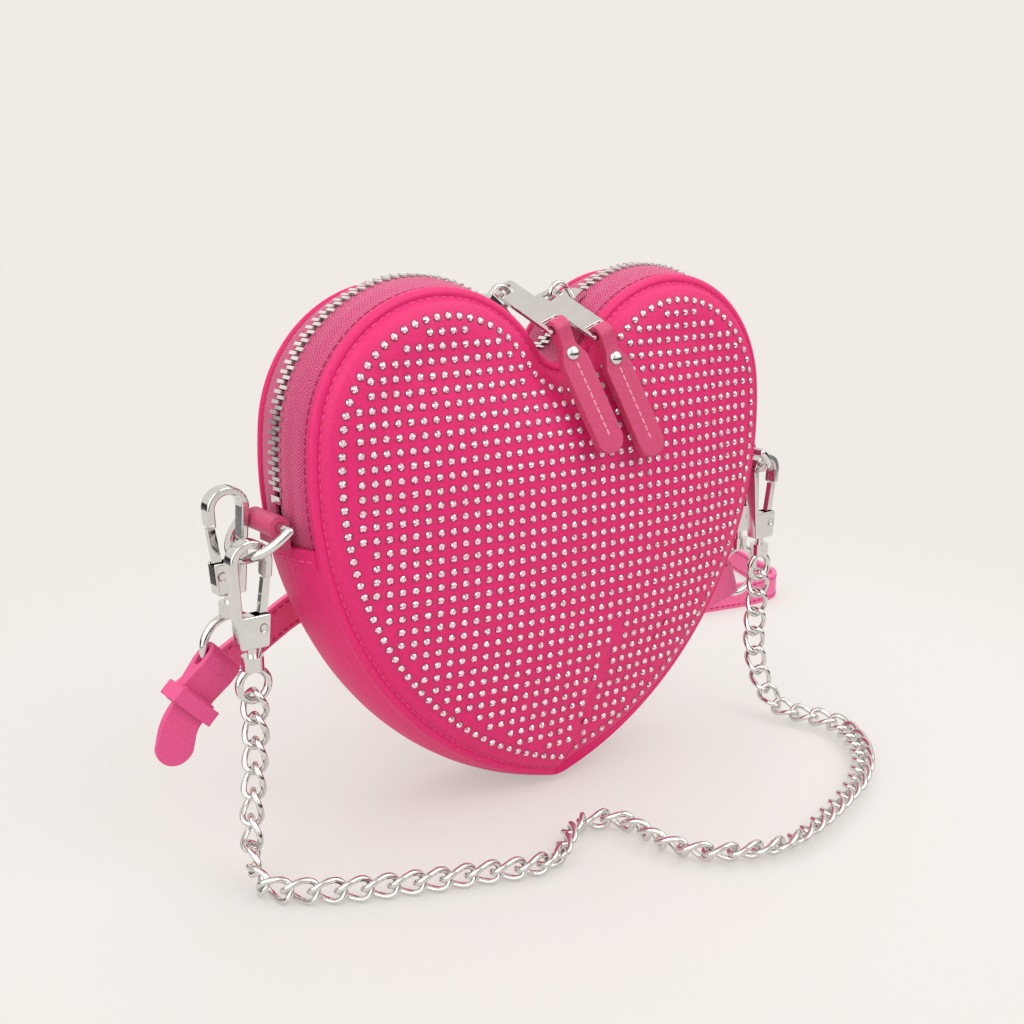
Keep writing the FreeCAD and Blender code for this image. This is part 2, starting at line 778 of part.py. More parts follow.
hook_side = size("hook_side")
bow_drop = math.sqrt(ring_radius ** 2 - hook_side ** 2)
wire_z = bar_z - bow_drop * math.cos(ring_tilt)
wire_x = bar_x + bow_drop * math.sin(ring_tilt)
hook_hang = hook_inner - ring_wire / 2 - size("hook_seat_gap")
ring_centres = {}
gate_pivots = {}
hook_turns = {"left_strap_hook": 180}
for side, side_name in ((-1, "left"), (1, "right")):
    lift = size("strap_hook_lift") if side < 0 else -hook_hang
    seats = {
        "chain": Vector(side * wire_x, -hook_side, wire_z - hook_hang),
        "strap": Vector(side * wire_x + size("%s_strap_shift" % side_name), hook_side, wire_z + lift),
    }
    for use, seat in seats.items():
        name = "%s_%s_hook" % (side_name, use)
        placement = Placement(seat, Rotation(Vector(0, 0, 1), hook_turns.get(name, 0)))
        pivot = placement.multVec(gate_pivot)
        body = add_shape("%s_body" % name, hook_shape())
        body.Placement = placement
        gate = add_shape("%s_gate" % name, gate_shape())
        gate.Placement = placement
        pin = add_primitive(
            "Part::Cylinder",
            "%s_pin" % name,
            Placement(pivot - Vector(0, hook_thick / 2, 0), along_y),
            Radius="sizes.pin_radius",
            Height="sizes.hook_thick",
        )
        pin.Label = "%s_pin" % name
        aliases = ("eye_radius", "eye_wire") if use == "chain" else ("strap_ring_radius", "strap_ring_wire")
        ring_centres[name] = add_swivel(name, seat, *aliases)
        gate_pivots[name] = pivot

# Curb chain: interlocked links at an even pitch along a hand-laid route from hook to hook

link_wire = size("link_wire")
link_long = size("link_long")
link_wide = size("link_wide")
chain_pitch = link_long - 2 * link_wire - size("link_gap")
chain_floor_z = 4.4
chain_floor_points = (
    (-118.5, -28.0), (-112.0, -37.5), (-100.0, -45.5), (-87.0, -51.5),
    (-73.5, -57.0), (-60.0, -62.0), (-48.0, -66.0), (-38.0, -64.5), (-29.0, -57.5),
    (-19.5, -53.0), (-11.0, -56.0), (-7.5, -63.5), (-7.6, -72.5), (-6.5, -82.0),
    (-1.5, -90.5), (8.0, -97.0), (22.0, -101.0), (39.0, -98.5), (57.0, -92.5),
    (72.0, -86.5), (85.0, -79.0), (97.0, -69.0), (106.0, -57.0), (110.5, -44.0),
    (107.5, -32.0),
)
left_eye = ring_centres["left_chain_hook"]
right_eye = ring_centres["right_chain_hook"]
eye_fall = size("eye_radius") + (link_long - link_wire - size("eye_wire")) / 2 - link_wire / 2
eye_fall = eye_fall - size("link_gap")
left_start = left_eye - Vector(0, 0, eye_fall)
right_start = right_eye - Vector(0, 0, eye_fall)
left_drop_points = ((-109.0, -6.6, 37.0), (-111.0, -8.4, 26.0), (-114.0, -12.0, 15.5), (-117.2, -19.0, 7.4))
right_drop_points = ((104.8, -21.5, 6.0), (104.3, -14.0, 13.0), (105.2, -9.0, 22.5), (106.6, -6.8, 34.0))
chain_route = [left_start] + [Vector(*point) for point in left_drop_points]
chain_route += [Vector(x, y, chain_floor_z) for x, y in chain_floor_points]
chain_route += [Vector(*point) for point in right_drop_points] + [right_start]
chain_line = Part.BSplineCurve()
chain_line.interpolate(chain_route)
chain_length = chain_line.length()
link_steps = 2 * round(chain_length / (2 * chain_pitch))
link_step = chain_length / link_steps


def link_shape():
    """One closed link in the local XZ plane, its long way along Z."""
    wire_radius = link_wire / 2
    bend = (link_wide - link_wire) / 2
    straight = link_long - link_wide
    centre = Vector(0, 0, straight / 2)
    top = Part.makeTorus(bend, wire_radius, Vector(0, 0, 0), Vector(0, 1, 0))
    half = Part.makeBox(
        2 * link_wide, 2 * link_wide, 2 * link_wide, Vector(-link_wide, -link_wide, 0)
    )
    top = top.common(half)
    bottom = top.mirror(Vector(0, 0, 0), Vector(0, 0, 1))
    top.translate(centre)
    bottom.translate(-centre)
    legs = [
        rod(wire_radius, straight, Vector(side * bend, 0, -straight / 2), Vector(0, 0, 1))
        for side in (-1, 1)
    ]
    return top.fuse([bottom] + legs).removeSplitter()


link = link_shape()
twist_links = 6
drop_links = 5
chain_nodes = {"chain_left_drop": [], "chain_floor": [], "chain_right_drop": []}
for number in range(link_steps + 1):
    place = chain_line.parameterAtDistance(number * link_step)
    way = Vector(*chain_line.tangent(place)[0]) if number else Vector(0, 0, -1)
    if number == link_steps:
        way = Vector(0, 0, 1)
    from_end = min(number, link_steps - number, twist_links)
    roll = 45.0 * from_end / twist_links + 90.0 * (number % 2)
    across = Vector(0, 1, 0) if abs(way.z) > abs(way.dot(Vector(0, 1, 0))) else Vector(0, 0, 1)
    spot = frame(chain_line.value(place), way, across)
    spot.Rotation = spot.Rotation.multiply(Rotation(Vector(0, 0, 1), roll))
    piece = link.copy()
    piece.Placement = spot
    if number <= drop_links:
        chain_nodes["chain_left_drop"].append(piece)
    elif number >= link_steps - drop_links:
        chain_nodes["chain_right_drop"].append(piece)
    else:
        chain_nodes["chain_floor"].append(piece)
for name, links in chain_nodes.items():
    add_shape(name, Part.makeCompound(links))
print("chain length %.0f mm, %d links, step %.2f mm" % (chain_length, link_steps + 1, link_step))

# Strap: flat ribbons that stand on edge, with tangent arcs between straight runs

strap_wide = size("strap_wide")
strap_thick = size("strap_thick")
layer_step = strap_thick + size("strap_layer_gap")
run_share = 0.45


def ribbon_face(points, half, tip_share=0):
    """A flat band of even width about a route of straight runs and tangent arcs in the local XY plane.

    The last end is square, or round where tip_share gives the tip's reach as a share of half the width.
    """
    left = []
    right = []
    length = 0
    last = points[0]
    for before, corner, after in zip(points, points[1:], points[2:]):
        way_in = (corner - before).normalize()
        way_out = (after - corner).normalize()
        turn = way_in.getAngle(way_out)
        short = min((corner - before).Length, (after - corner).Length)
        reach = run_share * short
        radius = reach / math.tan(turn / 2)
        start = corner - way_in * reach
        end = corner + way_out * reach
        bend_side = 1 if way_in.cross(way_out).z > 0 else -1
        normal_in = Vector(-way_in.y, way_in.x, 0)
        normal_out = Vector(-way_out.y, way_out.x, 0)
        centre = start + normal_in * radius * bend_side
        middle = centre + (corner - centre).normalize() * radius
        normal_middle = (centre - middle).normalize() * bend_side
        for edges, offset in ((left, half), (right, -half)):
            edges.append(Part.LineSegment(last + normal_in * offset, start + normal_in * offset).toShape())
            edges.append(
                Part.Arc(
                    start + normal_in * offset, middle + normal_middle * offset, end + normal_out * offset
                ).toShape()
            )
        length += (start - last).Length + radius * turn
        last = end
    way_out = (points[-1] - last).normalize()
    normal_out = Vector(-way_out.y, way_out.x, 0)
    for edges, offset in ((left, half), (right, -half)):
        edges.append(
            Part.LineSegment(last + normal_out * offset, points[-1] + normal_out * offset).toShape()
        )
    length += (points[-1] - last).Length
    first_way = (points[1] - points[0]).normalize()
    first_normal = Vector(-first_way.y, first_way.x, 0)
    last_corners = (points[-1] + normal_out * half, points[-1] - normal_out * half)
    tip = Part.LineSegment(*last_corners)
    if tip_share:
        tip = Part.Arc(last_corners[0], points[-1] + way_out * (tip_share * half), last_corners[1])
    caps = [
        Part.LineSegment(points[0] + first_normal * half, points[0] - first_normal * half).toShape(),
        tip.toShape(),
    ]
    return Part.Face(Part.Wire(Part.__sortEdges__(left + right + caps))), length


def hanging_ribbon(label, points, origin, heading, tip_share=0):
    """A ribbon in an upright plane: points give the run along a heading and the height."""
    route = [Vector(run, height, 0) for run, height in points]
    face, length = ribbon_face(route, strap_wide / 2, tip_share)
    band = face.extrude(Vector(0, 0, strap_thick))
    along = Vector(math.cos(heading), math.sin(heading), 0)
    normal = along.cross(Vector(0, 0, 1))
    turn = Matrix(
        along.x, 0, normal.x, origin.x,
        along.y, 0, normal.y, origin.y,
        0, 1, 0, origin.z,
    )
    band.Placement = Placement(turn)
    add_shape(label, band)
    return length


loop_slot_half = size("strap_ring_wire") / 2 + size("strap_layer_gap")


def upright_stadium(half, low, high):
    """A rounded slot outline across the strap, in the local YZ plane, drawn out along X."""
    wide = strap_wide
    block = Part.makeBox(wide, 2 * half, high - low, Vector(-wide / 2, -half, low))
    ends = [rod(half, wide, Vector(-wide / 2, 0, z), Vector(1, 0, 0)) for z in (low, high)]
    return block.fuse(ends).removeSplitter()


def strap_loop(label, centre, lean, tail_long):
    """The strap's end folded over a hook's ring and sewn back on itself."""
    ring = size("strap_ring_radius")
    sag = ring - math.sqrt(ring ** 2 - (strap_wide / 2) ** 2)
    low = -ring - size("strap_layer_gap")
    high = -ring + sag + size("strap_layer_gap")
    outer_half = loop_slot_half + strap_thick
    outer = upright_stadium(outer_half, low, high)
    inner = upright_stadium(loop_slot_half, low, high)
    neck = low - 2 * outer_half
    flanks = [
        Vector(-strap_wide / 2, -outer_half, low),
        Vector(-strap_wide / 2, outer_half, low),
        Vector(-strap_wide / 2, strap_thick, neck),
        Vector(-strap_wide / 2, -strap_thick, neck),
    ]
    throat = Part.Face(Part.makePolygon(flanks + flanks[:1])).extrude(Vector(strap_wide, 0, 0))
    tail = Part.makeBox(
        strap_wide,
        2 * strap_thick,
        tail_long + neck,
        Vector(-strap_wide / 2, -strap_thick, -tail_long),
    )
    shape = outer.fuse([throat, tail]).cut(inner).removeSplitter()
    shape.Placement = Placement(centre, Rotation(Vector(0, 1, 0), lean))
    add_shape(label, shape)


loop_tail = size("loop_tail")
left_lean = size("left_lean")
left_ring = ring_centres["left_strap_hook"]
right_ring = ring_centres["right_strap_hook"]
strap_loop("strap_left_loop", left_ring, left_lean, loop_tail)
strap_loop("strap_right_loop", right_ring, size("right_lean"), loop_tail)

# Keeper: a small leather band round the sewn end and the loose tail in front of it

keeper_leather = size("keeper_leather")
layer_gap = size("strap_layer_gap")
keeper_room_y = 2 * strap_thick + layer_step
keeper_inner = Part.makeBox(
    strap_wide + 2 * layer_gap,
    keeper_room_y + 2 * layer_gap,
    size("keeper_wide"),
    Vector(-strap_wide / 2 - layer_gap, -strap_thick - layer_step - layer_gap, -loop_tail + layer_gap),
)
keeper_outer = Part.makeBox(
    strap_wide + 2 * layer_gap + 2 * keeper_leather,
    keeper_room_y + 2 * layer_gap + 2 * keeper_leather,
    size("keeper_wide"),
    Vector(
        -strap_wide / 2 - layer_gap - keeper_leather,
        -strap_thick - layer_step - layer_gap - keeper_leather,
        -loop_tail + layer_gap,
    ),
)
keeper_shape = keeper_outer.cut(keeper_inner)
keeper_shape.Placement = Placement(left_ring, Rotation(Vector(0, 1, 0), left_lean))
add_shape("strap_keeper", keeper_shape)

# Loose tail in front of the left loop, then the band behind the purse, along the floor and back up

lean_way = Vector(-math.sin(math.radians(left_lean)), -math.cos(math.radians(left_lean)), 0)
tail_points = [lean_way * (loop_tail - size("tail_tuck")), lean_way * (loop_tail + size("tail_reach"))]
tail_points.append(tail_points[-1] + Vector(size("tail_swing"), -size("tail_hang"), 0))
tail_origin = Vector(left_ring.x, left_ring.y - strap_thick - layer_gap, left_ring.z)
tail_tip_share = 0.8
tail_route = [(point.x, point.y) for point in tail_points]
tail_length = hanging_ribbon("strap_left_tail", tail_route, tail_origin, 0, tail_tip_share)

def ground(heading):
    """The level directions along a heading and out of a hanging ribbon's face."""
    along = Vector(math.cos(heading), math.sin(heading), 0)
    return along, along.cross(Vector(0, 0, 1))


band_heading = math.radians(22.0)
band_origin = Vector(left_ring.x - size("band_reach"), left_ring.y + size("band_behind"), 0)
band_points = ((0, 50), (34, 59), (62, 67), (92, 61), (120, 40), (145, 18), (166, 6), (194, 6))
band_length = hanging_ribbon("strap_left_band", band_points, band_origin, band_heading)

rise_heading = math.radians(-45.9)
rise_along, rise_out = ground(rise_heading)
rise_end = Vector(right_ring.x - size("rise_short"), right_ring.y + size("rise_behind"), 0)
rise_origin = rise_end - rise_along * size("rise_long")
rise_points = ((0, 6), (9, 6), (19, 26), (30, 46), (58, 57), (90, 53), (size("rise_long"), 46))
rise_length = hanging_ribbon("strap_right_band", rise_points, rise_origin, rise_heading)

band_along, band_out = ground(band_heading)
floor_start = band_origin + band_along * (band_points[-1][0] + layer_gap) + band_out * (strap_thick / 2)
floor_end = rise_origin - rise_along * layer_gap + rise_out * (strap_thick / 2)
floor_points = (
    (100.0, 99.0), (140.0, 98.5), (178.0, 92.5), (208.0, 87.0), (229.0, 90.0), (240.0, 122.0),
    (252.0, 152.0), (244.0, 178.0), (214.0, 187.0), (150.0, 181.0), (90.0, 163.0), (40.0, 146.0),
    (12.0, 132.0),
)
floor_route = [floor_start, floor_start + band_along * size("floor_lead")]
floor_route += [Vector(x, y, 0) for x, y in floor_points]
floor_route += [floor_end - rise_along * size("floor_lead"), floor_end]
floor_face, floor_length = ribbon_face(floor_route, strap_thick / 2)
add_shape("strap_floor_band", floor_face.extrude(Vector(0, 0, strap_wide)))

strap_total = band_length + floor_length + rise_length + tail_length + 4 * loop_tail
print("strap length %.0f mm with both folded ends" % strap_total)
print("teeth half run %.1f mm, slider run %.1f mm, lobe centre %.3f" % (half_zip, slider_run, lobe_z))
print("slider hinge at x %.3f z %.3f" % (lobe_half_wide, lobe_z))
for name, (seat, axis) in pull_axes.items():
    print("axis", name, [round(v, 3) for v in seat], [round(v, 4) for v in axis])
print("ring bar x %.3f z %.3f" % (bar_x, bar_z))
for name, pivot in gate_pivots.items():
    print("hook", name, [round(v, 3) for v in pivot], [round(v, 3) for v in ring_centres[name]])

# Check every object, then write each piece to its own file

node_names = (
    "front_panel", "back_panel", "lower_gusset", "lining",
    "zip_tape_front", "zip_tape_back", "zip_teeth_front", "zip_teeth_back",
    "zip_stop_left", "zip_stop_right", "slider_left", "slider_right",
    "pull_plate_left", "pull_plate_right", "pull_tab_left", "pull_tab_right",
    "pull_rivet_left", "pull_rivet_right", "side_tab_left", "side_tab_right",
    "d_ring_left", "d_ring_right",
    "left_chain_hook_body", "left_chain_hook_gate", "left_chain_hook_pin", "left_chain_hook_swivel",
    "left_strap_hook_body", "left_strap_hook_gate", "left_strap_hook_pin", "left_strap_hook_swivel",
    "right_chain_hook_body", "right_chain_hook_gate", "right_chain_hook_pin", "right_chain_hook_swivel",
    "right_strap_hook_body", "right_strap_hook_gate", "right_strap_hook_pin", "right_strap_hook_swivel",
    "chain_left_drop", "chain_floor", "chain_right_drop",
    "strap_left_loop", "strap_right_loop", "strap_keeper", "strap_left_tail",
    "strap_left_band", "strap_floor_band", "strap_right_band",
)
doc.recompute()
for piece in doc.Objects:
    if "Invalid" in piece.State or "Error" in piece.State:
        raise RuntimeError("%s failed: %s" % (piece.Label, piece.State))
pieces = {piece.Label: piece for piece in doc.Objects}
for name in node_names:
    shape = pieces[name].Shape
    if shape.isNull() or not shape.isValid() or not shape.Solids:
        raise RuntimeError("%s has no valid solid" % name)
os.makedirs("parts", exist_ok=True)
for name in node_names:
    pieces[name].Shape.exportStep("parts/%s.step" % name)
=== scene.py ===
"""Heart shaped purse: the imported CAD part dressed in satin, crystals, stitches, weave and polished metal."""

import json
import math

import bmesh
import bpy
import numpy
from mathutils import Vector
from mathutils.bvhtree import BVHTree
from mathutils.geometry import delaunay_2d_cdt
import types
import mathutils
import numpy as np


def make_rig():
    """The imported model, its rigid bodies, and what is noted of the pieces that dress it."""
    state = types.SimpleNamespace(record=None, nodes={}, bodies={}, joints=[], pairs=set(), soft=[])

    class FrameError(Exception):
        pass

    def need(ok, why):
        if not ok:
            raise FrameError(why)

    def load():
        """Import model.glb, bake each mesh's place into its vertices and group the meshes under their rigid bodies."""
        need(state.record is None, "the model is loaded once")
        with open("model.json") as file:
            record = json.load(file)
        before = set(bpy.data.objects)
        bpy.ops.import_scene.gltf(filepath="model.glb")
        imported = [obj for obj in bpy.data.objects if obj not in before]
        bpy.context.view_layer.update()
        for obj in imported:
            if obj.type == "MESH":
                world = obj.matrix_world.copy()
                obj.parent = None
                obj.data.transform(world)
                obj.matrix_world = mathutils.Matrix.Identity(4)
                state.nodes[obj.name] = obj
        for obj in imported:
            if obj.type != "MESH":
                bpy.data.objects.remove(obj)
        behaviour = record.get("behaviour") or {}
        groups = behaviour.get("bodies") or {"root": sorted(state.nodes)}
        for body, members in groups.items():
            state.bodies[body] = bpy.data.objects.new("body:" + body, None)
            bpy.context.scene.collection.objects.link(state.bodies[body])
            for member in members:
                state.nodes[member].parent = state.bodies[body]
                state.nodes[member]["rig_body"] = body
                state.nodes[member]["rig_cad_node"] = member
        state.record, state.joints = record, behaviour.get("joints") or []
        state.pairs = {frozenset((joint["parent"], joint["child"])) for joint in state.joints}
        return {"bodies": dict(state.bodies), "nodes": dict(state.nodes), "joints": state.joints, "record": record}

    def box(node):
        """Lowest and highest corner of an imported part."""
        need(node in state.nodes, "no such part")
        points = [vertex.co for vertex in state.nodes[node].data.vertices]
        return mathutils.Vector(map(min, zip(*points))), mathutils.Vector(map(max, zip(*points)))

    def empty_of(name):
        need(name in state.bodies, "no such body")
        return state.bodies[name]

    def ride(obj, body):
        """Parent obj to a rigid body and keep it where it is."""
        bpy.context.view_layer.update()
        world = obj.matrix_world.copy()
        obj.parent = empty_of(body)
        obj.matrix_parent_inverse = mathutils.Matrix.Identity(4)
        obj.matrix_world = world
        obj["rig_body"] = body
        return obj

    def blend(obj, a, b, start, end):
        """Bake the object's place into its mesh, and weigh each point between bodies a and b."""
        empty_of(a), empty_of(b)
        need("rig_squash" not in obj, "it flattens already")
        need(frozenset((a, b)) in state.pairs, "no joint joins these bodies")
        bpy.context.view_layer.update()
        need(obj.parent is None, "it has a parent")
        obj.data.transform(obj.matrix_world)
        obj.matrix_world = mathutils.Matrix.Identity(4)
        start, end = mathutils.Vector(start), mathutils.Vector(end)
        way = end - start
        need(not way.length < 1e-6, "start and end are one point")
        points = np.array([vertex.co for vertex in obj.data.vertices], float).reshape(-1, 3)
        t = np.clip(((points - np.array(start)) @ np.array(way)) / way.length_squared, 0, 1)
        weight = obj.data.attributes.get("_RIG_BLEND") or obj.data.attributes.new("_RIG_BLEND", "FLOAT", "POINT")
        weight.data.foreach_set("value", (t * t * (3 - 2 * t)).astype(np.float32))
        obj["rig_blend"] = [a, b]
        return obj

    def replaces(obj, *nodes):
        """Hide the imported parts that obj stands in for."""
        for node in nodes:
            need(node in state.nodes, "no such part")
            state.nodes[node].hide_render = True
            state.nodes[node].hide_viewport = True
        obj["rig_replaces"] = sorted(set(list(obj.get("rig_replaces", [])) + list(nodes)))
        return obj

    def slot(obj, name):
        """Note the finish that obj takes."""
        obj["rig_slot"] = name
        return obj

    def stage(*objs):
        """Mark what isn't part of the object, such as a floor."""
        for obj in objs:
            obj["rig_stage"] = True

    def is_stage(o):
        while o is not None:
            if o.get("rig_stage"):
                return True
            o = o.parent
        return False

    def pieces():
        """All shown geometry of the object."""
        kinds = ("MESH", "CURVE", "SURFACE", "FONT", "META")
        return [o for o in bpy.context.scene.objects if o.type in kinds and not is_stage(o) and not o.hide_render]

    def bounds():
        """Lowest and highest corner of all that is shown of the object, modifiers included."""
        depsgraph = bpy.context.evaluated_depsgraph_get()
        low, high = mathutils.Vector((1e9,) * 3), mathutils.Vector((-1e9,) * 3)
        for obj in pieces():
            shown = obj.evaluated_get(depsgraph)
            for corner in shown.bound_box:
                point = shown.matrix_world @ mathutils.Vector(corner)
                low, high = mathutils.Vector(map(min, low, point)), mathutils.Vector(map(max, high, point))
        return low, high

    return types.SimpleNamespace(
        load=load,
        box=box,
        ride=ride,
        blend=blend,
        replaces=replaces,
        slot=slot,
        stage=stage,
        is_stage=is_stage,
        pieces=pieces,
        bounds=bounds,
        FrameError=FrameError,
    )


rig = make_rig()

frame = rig.load()
cad_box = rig.bounds()
nodes = frame["nodes"]

# Panels: two heart shaped domes of hot pink satin over a soft filling, each with a turned rim.
# A sewn groove runs inside the rim, and on the front a dart draws the cloth in above the tip.
# The outline has the same arcs as the seams of the shell, in millimetres.
MM = 0.001
LOBE_X, LOBE_R, SIDE_R, CLEFT_R, TIP_R = 47.5, 45.0, 120.0, 11.0, 14.0
SIDE_START = math.radians(6.0)
HALF_DEPTH, BULGE, TIP_FLAT = 15.0, 3.5, 0.8
CLEFT_STEPS, LOBE_STEPS, SIDE_STEPS, TIP_STEPS = 12, 64, 72, 16
SIDE_X = LOBE_X - (SIDE_R - LOBE_R) * math.cos(SIDE_START)
SIDE_FALL = (SIDE_R - LOBE_R) * math.sin(SIDE_START)
LOBE_Z = SIDE_FALL + math.sqrt((SIDE_R + BULGE - TIP_R) ** 2 - SIDE_X ** 2) + TIP_R - TIP_FLAT
CLEFT_LIFT = math.sqrt((LOBE_R + CLEFT_R) ** 2 - LOBE_X ** 2)
CLEFT_ANGLE = math.atan2(CLEFT_LIFT, LOBE_X)


def heart_half(grow):
    """Right half of the heart from the cleft to the tip, grown outward."""
    side_z = LOBE_Z - SIDE_FALL
    tip_z = side_z - math.sqrt((SIDE_R + grow - TIP_R) ** 2 - SIDE_X ** 2)
    tip_angle = math.atan2(tip_z - side_z, -SIDE_X)
    arcs = (
        (0.0, LOBE_Z + CLEFT_LIFT, CLEFT_R - grow, -math.pi / 2, -CLEFT_ANGLE, CLEFT_STEPS),
        (LOBE_X, LOBE_Z, LOBE_R + grow, math.pi - CLEFT_ANGLE, SIDE_START, LOBE_STEPS),
        (SIDE_X, side_z, SIDE_R + grow, SIDE_START, tip_angle, SIDE_STEPS),
        (0.0, tip_z, TIP_R, tip_angle, -math.pi / 2, TIP_STEPS),
    )
    points = []
    for x, z, radius, first, last, steps in arcs:
        for k in range(steps):
            angle = first + (last - first) * k / steps
            points.append((x + radius * math.cos(angle), z + radius * math.sin(angle)))
    points.append((0.0, tip_z - TIP_R))
    return points


def heart_ring(grow):
    """The whole outline, grown outward."""
    half = heart_half(grow)
    return half + [(-x, z) for x, z in half[-2:0:-1]]


def inside(x, z, ring):
    """Whether a place lies inside an outline."""
    hit = False
    for (x1, z1), (x2, z2) in zip(ring, ring[1:] + ring[:1]):
        if (z1 > z) != (z2 > z) and x < x1 + (z - z1) * (x2 - x1) / (z2 - z1):
            hit = not hit
    return hit


def join(tree, *links):
    """Links sockets of a node tree, each link given as node, output, node and input."""
    for source, output, target, entry in links:
        tree.links.new(source.outputs[output], target.inputs[entry])


GRAIN_FROM, GRAIN_TO, GRAIN_DETAIL = 0.3, 0.7, 4.0
grain = bpy.data.node_groups.new("surface_grain", "ShaderNodeTree")
grain.interface.new_socket("Scale", in_out="INPUT", socket_type="NodeSocketFloat")
grain.interface.new_socket("Low", in_out="INPUT", socket_type="NodeSocketColor")
grain.interface.new_socket("High", in_out="INPUT", socket_type="NodeSocketColor")
grain.interface.new_socket("Colour", in_out="OUTPUT", socket_type="NodeSocketColor")
grain.interface.new_socket("Height", in_out="OUTPUT", socket_type="NodeSocketFloat")
grain_in = grain.nodes.new("NodeGroupInput")
grain_out = grain.nodes.new("NodeGroupOutput")
grain_place = grain.nodes.new("ShaderNodeTexCoord")
grain_noise = grain.nodes.new("ShaderNodeTexNoise")
grain_noise.inputs["Detail"].default_value = GRAIN_DETAIL
grain_spread = grain.nodes.new("ShaderNodeMapRange")
grain_spread.inputs["From Min"].default_value = GRAIN_FROM
grain_spread.inputs["From Max"].default_value = GRAIN_TO
grain_tone = grain.nodes.new("ShaderNodeMixRGB")
join(
    grain,
    (grain_place, "Object", grain_noise, "Vector"),
    (grain_in, "Scale", grain_noise, "Scale"),
    (grain_noise, "Fac", grain_spread, "Value"),
    (grain_spread, "Result", grain_tone, "Fac"),
    (grain_in, "Low", grain_tone, "Color1"),
    (grain_in, "High", grain_tone, "Color2"),
    (grain_tone, "Color", grain_out, "Colour"),
    (grain_noise, "Fac", grain_out, "Height"),
)


def new_look(name):
    """A new material, with its node tree and its shader."""
    material = bpy.data.materials.new(name)
    material.use_nodes = True
    return material, material.node_tree, material.node_tree.nodes["Principled BSDF"]


def grained(tree, colour, scale, low, high):
    """The grain placed in a material, with its uneven tone on the shader."""
    fine = tree.nodes.new("ShaderNodeGroup")
    fine.node_tree = grain
    fine.inputs["Scale"].default_value = scale
    fine.inputs["Low"].default_value = (*[c * low for c in colour], 1.0)
    fine.inputs["High"].default_value = (*[min(1.0, c * high) for c in colour], 1.0)
    tree.links.new(fine.outputs["Colour"], tree.nodes["Principled BSDF"].inputs["Base Color"])
    return fine


CLOTH_LOW, CLOTH_HIGH, CLOTH_RELIEF = 0.9, 1.06, 0.0002
SHEEN_ROUGHNESS, SHEEN_TINT = 0.4, (1.0, 0.45, 0.7, 1.0)


def pink_cloth(name, colour, roughness, bump, scale, sheen):
    """Cloth, leather or thread with a fine grain and a soft sheen."""
    material, tree, shader = new_look(name)
    shader.inputs["Roughness"].default_value = roughness
    shader.inputs["Sheen Weight"].default_value = sheen
    shader.inputs["Sheen Roughness"].default_value = SHEEN_ROUGHNESS
    shader.inputs["Sheen Tint"].default_value = SHEEN_TINT
    fine = grained(tree, colour, scale, CLOTH_LOW, CLOTH_HIGH)
    bumps = tree.nodes.new("ShaderNodeBump")
    bumps.inputs["Strength"].default_value = bump
    bumps.inputs["Distance"].default_value = CLOTH_RELIEF
    tree.links.new(fine.outputs["Height"], bumps.inputs["Height"])
    tree.links.new(bumps.outputs["Normal"], shader.inputs["Normal"])
    return material


def dress(slot, finish):
    """Gives the CAD nodes of a material slot their finish."""
    for part in frame["record"]["subparts"]:
        if part["material_slot"] == slot:
            nodes[part["node"]].data.materials.clear()
            nodes[part["node"]].data.materials.append(finish)


satin = pink_cloth("satin", (0.76, 0.011, 0.155), 0.55, 0.2, 900.0, 0.1)
dress("shell", satin)

PILLOW_STEP, PILLOW_X, PILLOW_Z = 3.0, -99.0, -6.0
PILLOW_COLUMNS, PILLOW_ROWS, PILLOW_TURNS = 67, 63, 4000
pillow_seam = heart_ring(0.0)
pillow_open = numpy.zeros((PILLOW_ROWS, PILLOW_COLUMNS), bool)
for j in range(PILLOW_ROWS):
    for i in range(PILLOW_COLUMNS):
        x = abs(PILLOW_X + PILLOW_STEP * i)
        pillow_open[j, i] = inside(x, PILLOW_Z + PILLOW_STEP * j, pillow_seam)
pillow = numpy.zeros(pillow_open.shape)
for _ in range(PILLOW_TURNS):
    lifted = numpy.zeros(pillow.shape)
    beside = pillow[:-2, 1:-1] + pillow[2:, 1:-1] + pillow[1:-1, :-2] + pillow[1:-1, 2:]
    lifted[1:-1, 1:-1] = beside + 1.0
    pillow = numpy.where(pillow_open, lifted / 4, 0.0)
pillow /= pillow.max()


def blown(x, z):
    """How full a skin blown up inside the seam is at a place, from 0 at the seam to 1 at its highest."""
    across = (x - PILLOW_X) / PILLOW_STEP
    up = (z - PILLOW_Z) / PILLOW_STEP
    i, j = int(across), int(up)
    s, t = across - i, up - j
    low = pillow[j, i] * (1 - s) + pillow[j, i + 1] * s
    high = pillow[j + 1, i] * (1 - s) + pillow[j + 1, i + 1] * s
    return low * (1 - t) + high * t


DOME_FOOT, DOME_RISE, DOME_DEEP, DOME_POWER, DOME_EASE = 1.68, 12.4, 56.0, 2.6, 18.0
RIM_EDGE = ((1.8, -0.3), (0.0, -0.3), (0.0, 0.7), (0.2, 1.3), (0.7, 1.75), (1.5, 2.1))
RIM_GROOVE = ((2.2, 2.15), (2.7, 1.8), (3.2, 1.85), (3.8, 2.9))
RIM = RIM_EDGE + RIM_GROOVE
RINGS, RING_FIRST, RING_LAST = 20, 4.4, 24.0
SOFT_FROM, SOFT_PASSES = 6, 4
MERGE = 1e-6


def dome_rise(x, z, inset):
    """Height of the dome: even along the rim, and that of a blown up skin further in."""
    edge = 1 - (1 - min(inset, DOME_DEEP) / DOME_DEEP) ** DOME_POWER
    skin = 1 - (1 - blown(x, z)) ** (DOME_POWER / 2)
    share = min(1.0, max(0.0, (inset - RING_FIRST) / DOME_EASE))
    share = share * share * (3 - 2 * share)
    return DOME_FOOT + DOME_RISE * (edge * (1 - share) + skin * share)


